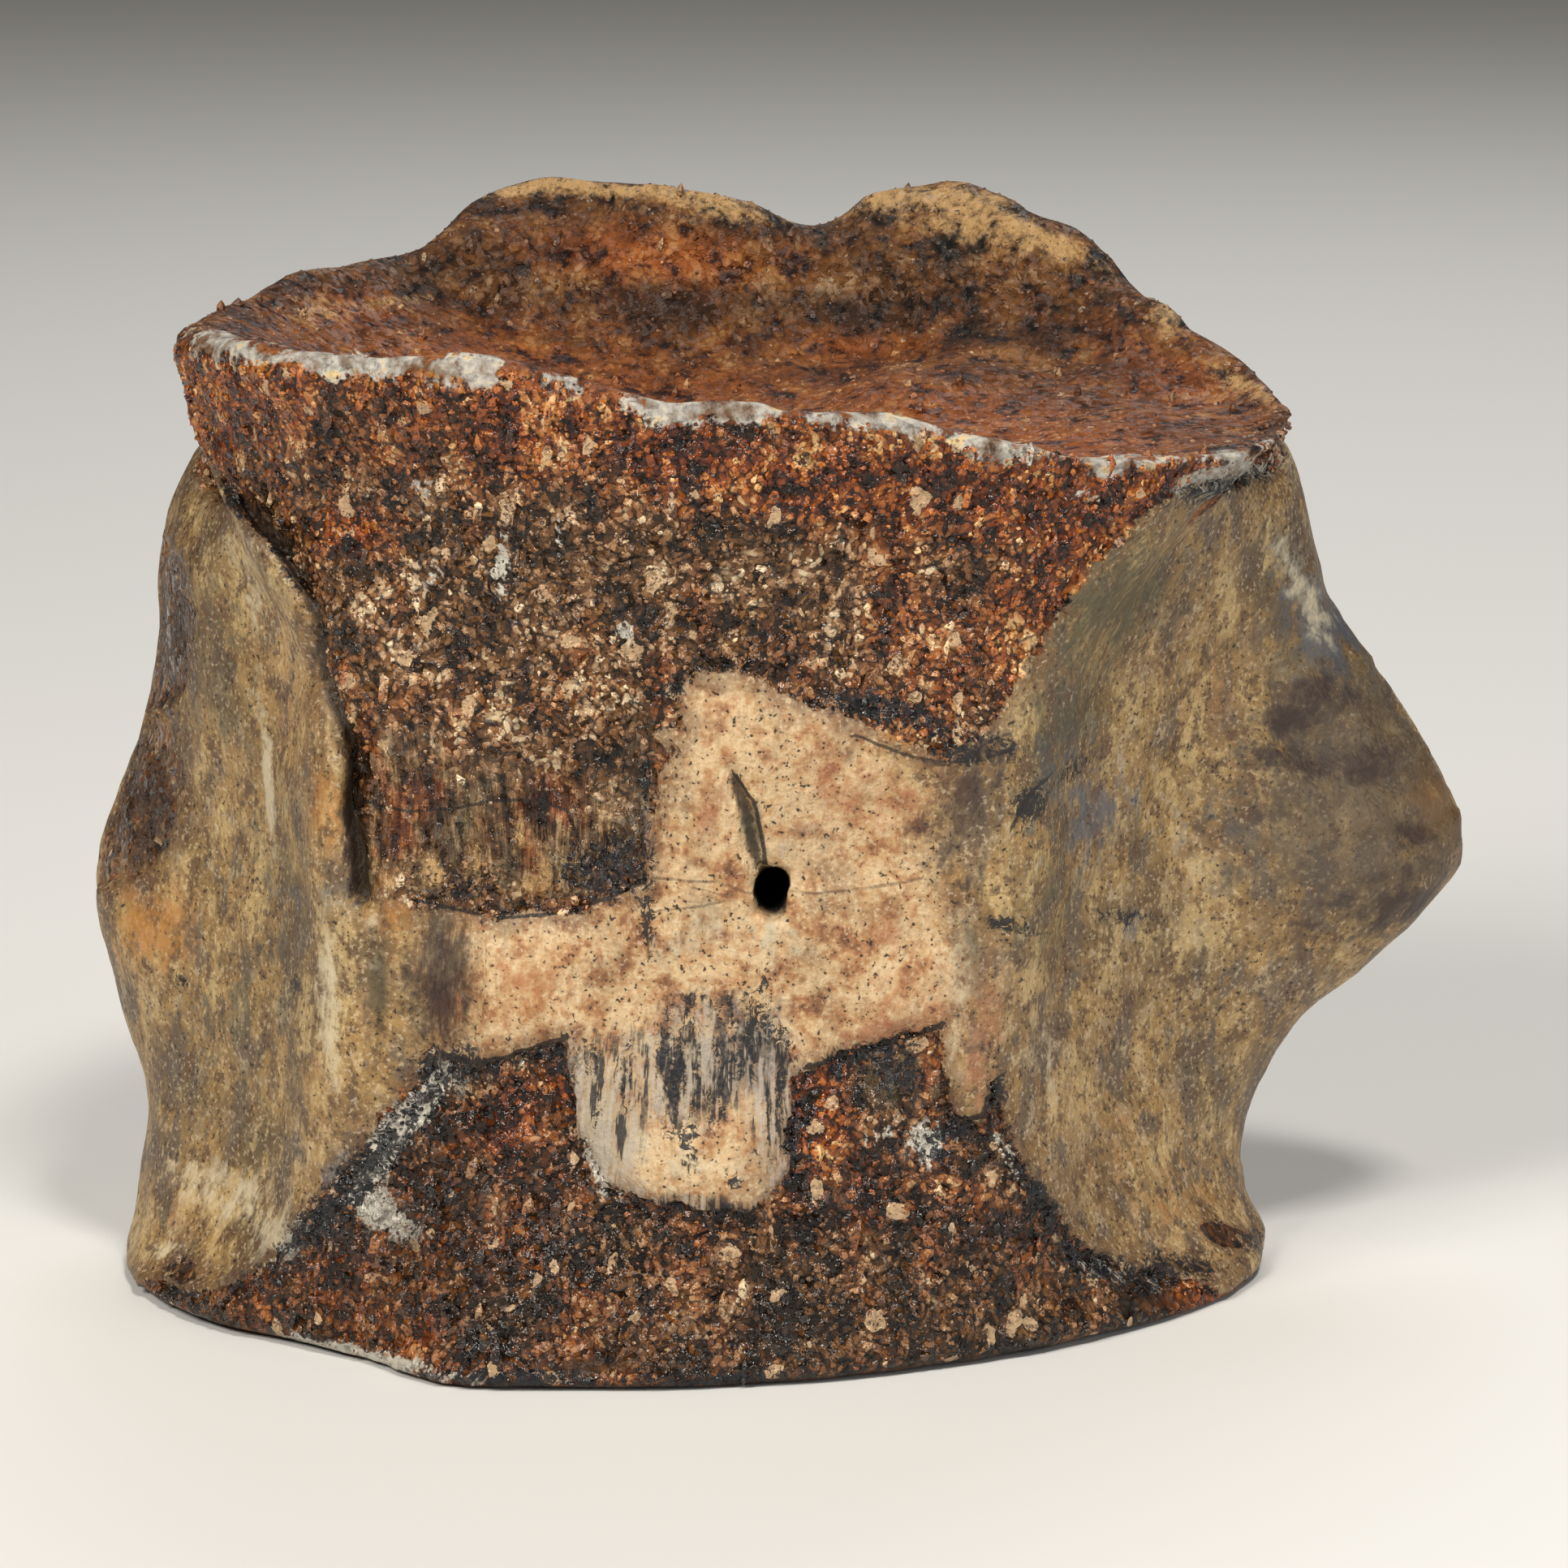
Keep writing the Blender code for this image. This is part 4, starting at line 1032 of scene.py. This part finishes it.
def stored(name):
    """A number stored on the bone, inside the scatter tree."""
    made = wire("GeometryNodeInputNamedAttribute", {"Name": name}, data_type="FLOAT")
    return made.outputs["Attribute"]


def chance(low, high, seed):
    """A random number for every grain."""
    made = wire("FunctionNodeRandomValue", {2: low, 3: high, "Seed": seed}, data_type="FLOAT")
    return made.outputs[1]


def chances(low, high, seed):
    """Three random numbers for every grain."""
    made = wire("FunctionNodeRandomValue", {0: (low,) * 3, 1: (high,) * 3, "Seed": seed},
                data_type="FLOAT_VECTOR")
    return made.outputs[0]


# %% Where grains sit: on spongy bone, clear of the floor and the crust, few on bare fibres
level = wire("ShaderNodeSeparateXYZ", {0: wire("GeometryNodeInputPosition").outputs[0]}).outputs["Z"]
wanted = times(sums("GREATER_THAN", stored("sponge_depth"), 0.05), sums("GREATER_THAN", level, 0.6 * MM))
wanted = times(wanted, sums("LESS_THAN", stored("crust"), 0.05))
on_worn = sums("GREATER_THAN", stored("worn"), 0.5)
other_part = sums("ABSOLUTE", sums("SUBTRACT", on_worn, given["On worn ends"]))
wanted = times(wanted, sums("LESS_THAN", other_part, 0.5))
crowd = sums("MULTIPLY_ADD", stored("fibrous"), -0.85, 1.0)
scattered = wire("GeometryNodeDistributePointsOnFaces", {
    "Mesh": given["Geometry"], "Selection": wanted, "Distance Min": given["Spacing"],
    "Density Max": given["Per square metre"], "Density Factor": crowd, "Seed": given["Seed"],
}, distribute_method="POISSON")

# %% What each grain looks like: mostly small chips, now and then a long cream strut
luck = chance(0.0, 1.0, 3)
strut = sums("GREATER_THAN", luck, 0.990)
bigness = sums("POWER", luck, 3.0)
span = sums("SUBTRACT", given["Largest radius"], given["Smallest radius"])
radius = sums("MULTIPLY_ADD", bigness, span, given["Smallest radius"])
upright = wire("ShaderNodeCombineXYZ", {"X": 1.0, "Y": 1.0, "Z": sums("MULTIPLY_ADD", strut, 1.3, 1.0)})
shape = vectors("MULTIPLY", chances(0.6, 1.3, 5), upright.outputs[0])
turned = scaled(chances(0.0, 6.28, 7), sums("MULTIPLY_ADD", strut, -0.95, 1.0))
chip = wire("GeometryNodeMeshUVSphere", {"Radius": 1.0, "Segments": 5, "Rings": 3})
depth = times(radius, times(given["Sunk"], -1.0))
inwards = scaled(scattered.outputs["Normal"], depth)
sunk = wire("GeometryNodeSetPosition", {"Geometry": scattered.outputs["Points"], "Offset": inwards})
placed = wire("GeometryNodeInstanceOnPoints", {
    "Points": sunk.outputs[0], "Instance": chip.outputs["Mesh"],
    "Rotation": turned, "Scale": scaled(shape, radius)})
grain_tint = sums("MULTIPLY_ADD", bigness, 0.15, chance(0.0, 0.62, 11))
tinted = wire("GeometryNodeStoreNamedAttribute", {
    "Geometry": placed.outputs[0], "Name": "grain_tint", "Value": grain_tint},
    data_type="FLOAT", domain="INSTANCE")
real_grains = wire("GeometryNodeRealizeInstances", {0: tinted.outputs[0]})
finished = wire("GeometryNodeSetMaterial", {0: real_grains.outputs[0], "Material": given["Finish"]})
wire("NodeGroupOutput", {0: finished.outputs[0]})
print("scatter tree:", len(tree.nodes), "nodes")
scatter_tree = tree

# %% Finish of the grains
grain_finish = bpy.data.materials.new("spongy_grain_finish")
grain_finish.use_nodes = True
tree = grain_finish.node_tree
tree.nodes.clear()
place = stretched(wire("ShaderNodeTexCoord").outputs["Object"], (1 / MM, 1 / MM, 1 / MM))
cluster = clouds(place, 2.2, 3.0, 0.6)
tint = swing(cluster, 1.7, sums("ADD", number("grain_tint"), 0.14))
rust_cloud = clouds(stretched(place, (1.0, 1.0, 0.6)), 2.2, 3.0, 0.66)
grain_crumbs = crumbs(stretched(pushed_about(place), (1.0, 1.0, 0.75)), 0.85)
grain_pick = wire("ShaderNodeSeparateColor", {"Color": grain_crumbs.outputs["Color"]})
tint = swing(grain_pick.outputs["Green"], 0.22, tint)
grain_colour = spongy_tints(painted_shade_low_down(tint, place), rust_cloud)
fleck_size = times(between(grain_pick.outputs["Red"], 0.74, 0.98), 0.42)
on_fleck = sums("GREATER_THAN", fleck_size, grain_crumbs.outputs["Distance"])
grain_colour = mixed(times(on_fleck, 0.7), grain_colour, srgb(200, 168, 132))
worn_grains = mixed(times(number("iron"), 0.75), srgb(78, 48, 22), srgb(172, 96, 40))
grain_colour = mixed(times(number("worn"), 0.6), grain_colour, worn_grains)
border = swing(clouds(place, 0.9, 3.0, 0.7), 2.0)
pale_grains = between(sums("ADD", number("pale"), border), 0.42, 0.62)
grain_colour = mixed(pale_grains, grain_colour, srgb(190, 182, 166))
# Purple spots are stains, and in places painted shade.
grain_colour = mixed(times(number("purple"), 0.6), grain_colour, srgb(52, 34, 30))
grain_colour = mixed(times(number("tan"), 0.9), grain_colour, srgb(170, 134, 88))
black_grains = between(sums("SUBTRACT", number("black"), border), 0.34, 0.54)
grain_colour = mixed(black_grains, grain_colour, srgb(12, 11, 13))
speckle = clouds(place, 0.15, 2.0, 0.6)
# Painted shade: the grains darken where their bump is low.
grain_colour = mixed(between(speckle, 0.54, 0.36), grain_colour, srgb(80, 54, 40), "MULTIPLY")
grain_gloss = sums("MULTIPLY_ADD", speckle, 0.5, sums("MULTIPLY_ADD", number("worn"), 0.3, -0.10))
grain_bump = wire("ShaderNodeBump", {"Height": speckle, "Distance": 0.10 * MM})
surface = wire("ShaderNodeBsdfPrincipled", {
    "Base Color": grain_colour, "Roughness": grain_gloss, "Normal": grain_bump.outputs["Normal"],
    "IOR": 1.6})
wire("ShaderNodeOutputMaterial", {"Surface": surface.outputs["BSDF"]})
print("grain finish:", len(tree.nodes), "nodes")

# %% Scatter on the bone, and make the results plain meshes


def scatter(name, **sizes):
    """Grains as a piece of their own, of the sizes given for the tree's inputs."""
    piece = bpy.data.objects.new(name, bone.data.copy())
    bpy.context.collection.objects.link(piece)
    scattering = piece.modifiers.new("scatter", "NODES")
    scattering.node_group = scatter_tree
    for label, value in sizes.items():
        scattering[sockets[label.replace("_", " ")].identifier] = value
    scattering[sockets["Finish"].identifier] = grain_finish
    made = piece.evaluated_get(bpy.context.evaluated_depsgraph_get())
    mesh = bpy.data.meshes.new_from_object(made)
    piece.modifiers.remove(scattering)
    piece.data = mesh
    mesh.name = name
    mesh.calc_loop_triangles()
    print(name, len(mesh.vertices) // 12, "grains,", len(mesh.loop_triangles), "triangles")
    return piece


side_grains = scatter("side_grains", Smallest_radius=0.10 * MM, Largest_radius=0.33 * MM, Sunk=0.55,
                      Spacing=0.20 * MM, Per_square_metre=16.0e6, On_worn_ends=0.0, Seed=8)
end_grains = scatter("end_grains", Smallest_radius=0.09 * MM, Largest_radius=0.28 * MM, Sunk=0.6,
                     Spacing=0.30 * MM, Per_square_metre=5.6e6, On_worn_ends=1.0, Seed=9)

# %% [markdown]
# ## Floor, camera and light
# A plain pale floor reaches past the edge of the view, so no horizon shows. The camera looks down on the
# bone by 12 degrees through a long lens, as a macro photographer does. One large soft light from the
# upper left gives form, a small one makes the crystals glitter, and a weak fill opens the shadows.

# %% Stage
FLOOR_REACH = 3.0

floor_mesh = bpy.data.meshes.new("pale_floor")
corners = [(x * FLOOR_REACH, y * FLOOR_REACH, 0) for x, y in [(-1, -1), (1, -1), (1, 1), (-1, 1)]]
floor_mesh.from_pydata(corners, [], [(0, 1, 2, 3)])
floor = bpy.data.objects.new("pale_floor", floor_mesh)
bpy.context.collection.objects.link(floor)
floor_finish = bpy.data.materials.new("pale_floor_finish")
floor_finish.use_nodes = True
floor_surface = floor_finish.node_tree.nodes["Principled BSDF"]
floor_surface.inputs["Base Color"].default_value = (0.72, 0.71, 0.69, 1)
floor_surface.inputs["Roughness"].default_value = 0.8
floor_mesh.materials.append(floor_finish)

# %% Camera and lights
SENSOR_WIDTH = 36.0

middle = Vector((0, 0, VIEW_LEVEL * MM))
camera_data = bpy.data.cameras.new("macro_camera")
camera_data.sensor_width = SENSOR_WIDTH
camera_data.lens = SENSOR_WIDTH * VIEW_DISTANCE / (2 * PICTURE_MIDDLE / PIXELS_PER_MM)
camera_data.clip_start = 0.01
camera = bpy.data.objects.new("macro_camera", camera_data)
bpy.context.collection.objects.link(camera)
away = Vector((0, -math.cos(VIEW_RISE), math.sin(VIEW_RISE)))
camera.location = middle + away * VIEW_DISTANCE * MM
camera.rotation_euler = (-away).to_track_quat("-Z", "Y").to_euler()
bpy.context.scene.camera = camera


def soft_light(name, place_mm, size_mm, watts, warmth=(1, 1, 1)):
    """A square light that looks at the bone."""
    data = bpy.data.lights.new(name, "AREA")
    data.size = size_mm * MM
    data.energy = watts
    data.color = warmth
    light = bpy.data.objects.new(name, data)
    bpy.context.collection.objects.link(light)
    light.location = Vector(place_mm) * MM
    light.rotation_euler = (middle - light.location).to_track_quat("-Z", "Y").to_euler()
    return light


soft_light("key_light", (-230, -300, 300), 150, 2.6, (1.0, 0.96, 0.89))
soft_light("upper_light", (80, -220, 420), 80, 1.8, (1.0, 0.97, 0.91))
soft_light("fill_light", (360, -260, 140), 220, 0.9)
soft_light("back_light", (60, 320, 360), 260, 1.2)
world = bpy.data.worlds.new("pale_room")
world.use_nodes = True
world.node_tree.nodes["Background"].inputs["Color"].default_value = (1.0, 0.95, 0.88, 1)
world.node_tree.nodes["Background"].inputs["Strength"].default_value = 0.12
bpy.context.scene.world = world
bpy.context.scene.view_settings.view_transform = "Standard"
bpy.context.scene.view_settings.exposure = -0.62
print("lens:", round(camera_data.lens, 1), "mm")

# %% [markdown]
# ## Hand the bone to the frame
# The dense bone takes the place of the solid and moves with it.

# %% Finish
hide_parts("vertebra")
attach(bone, "root")
for piece in (side_grains, end_grains):
    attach(piece, "root")
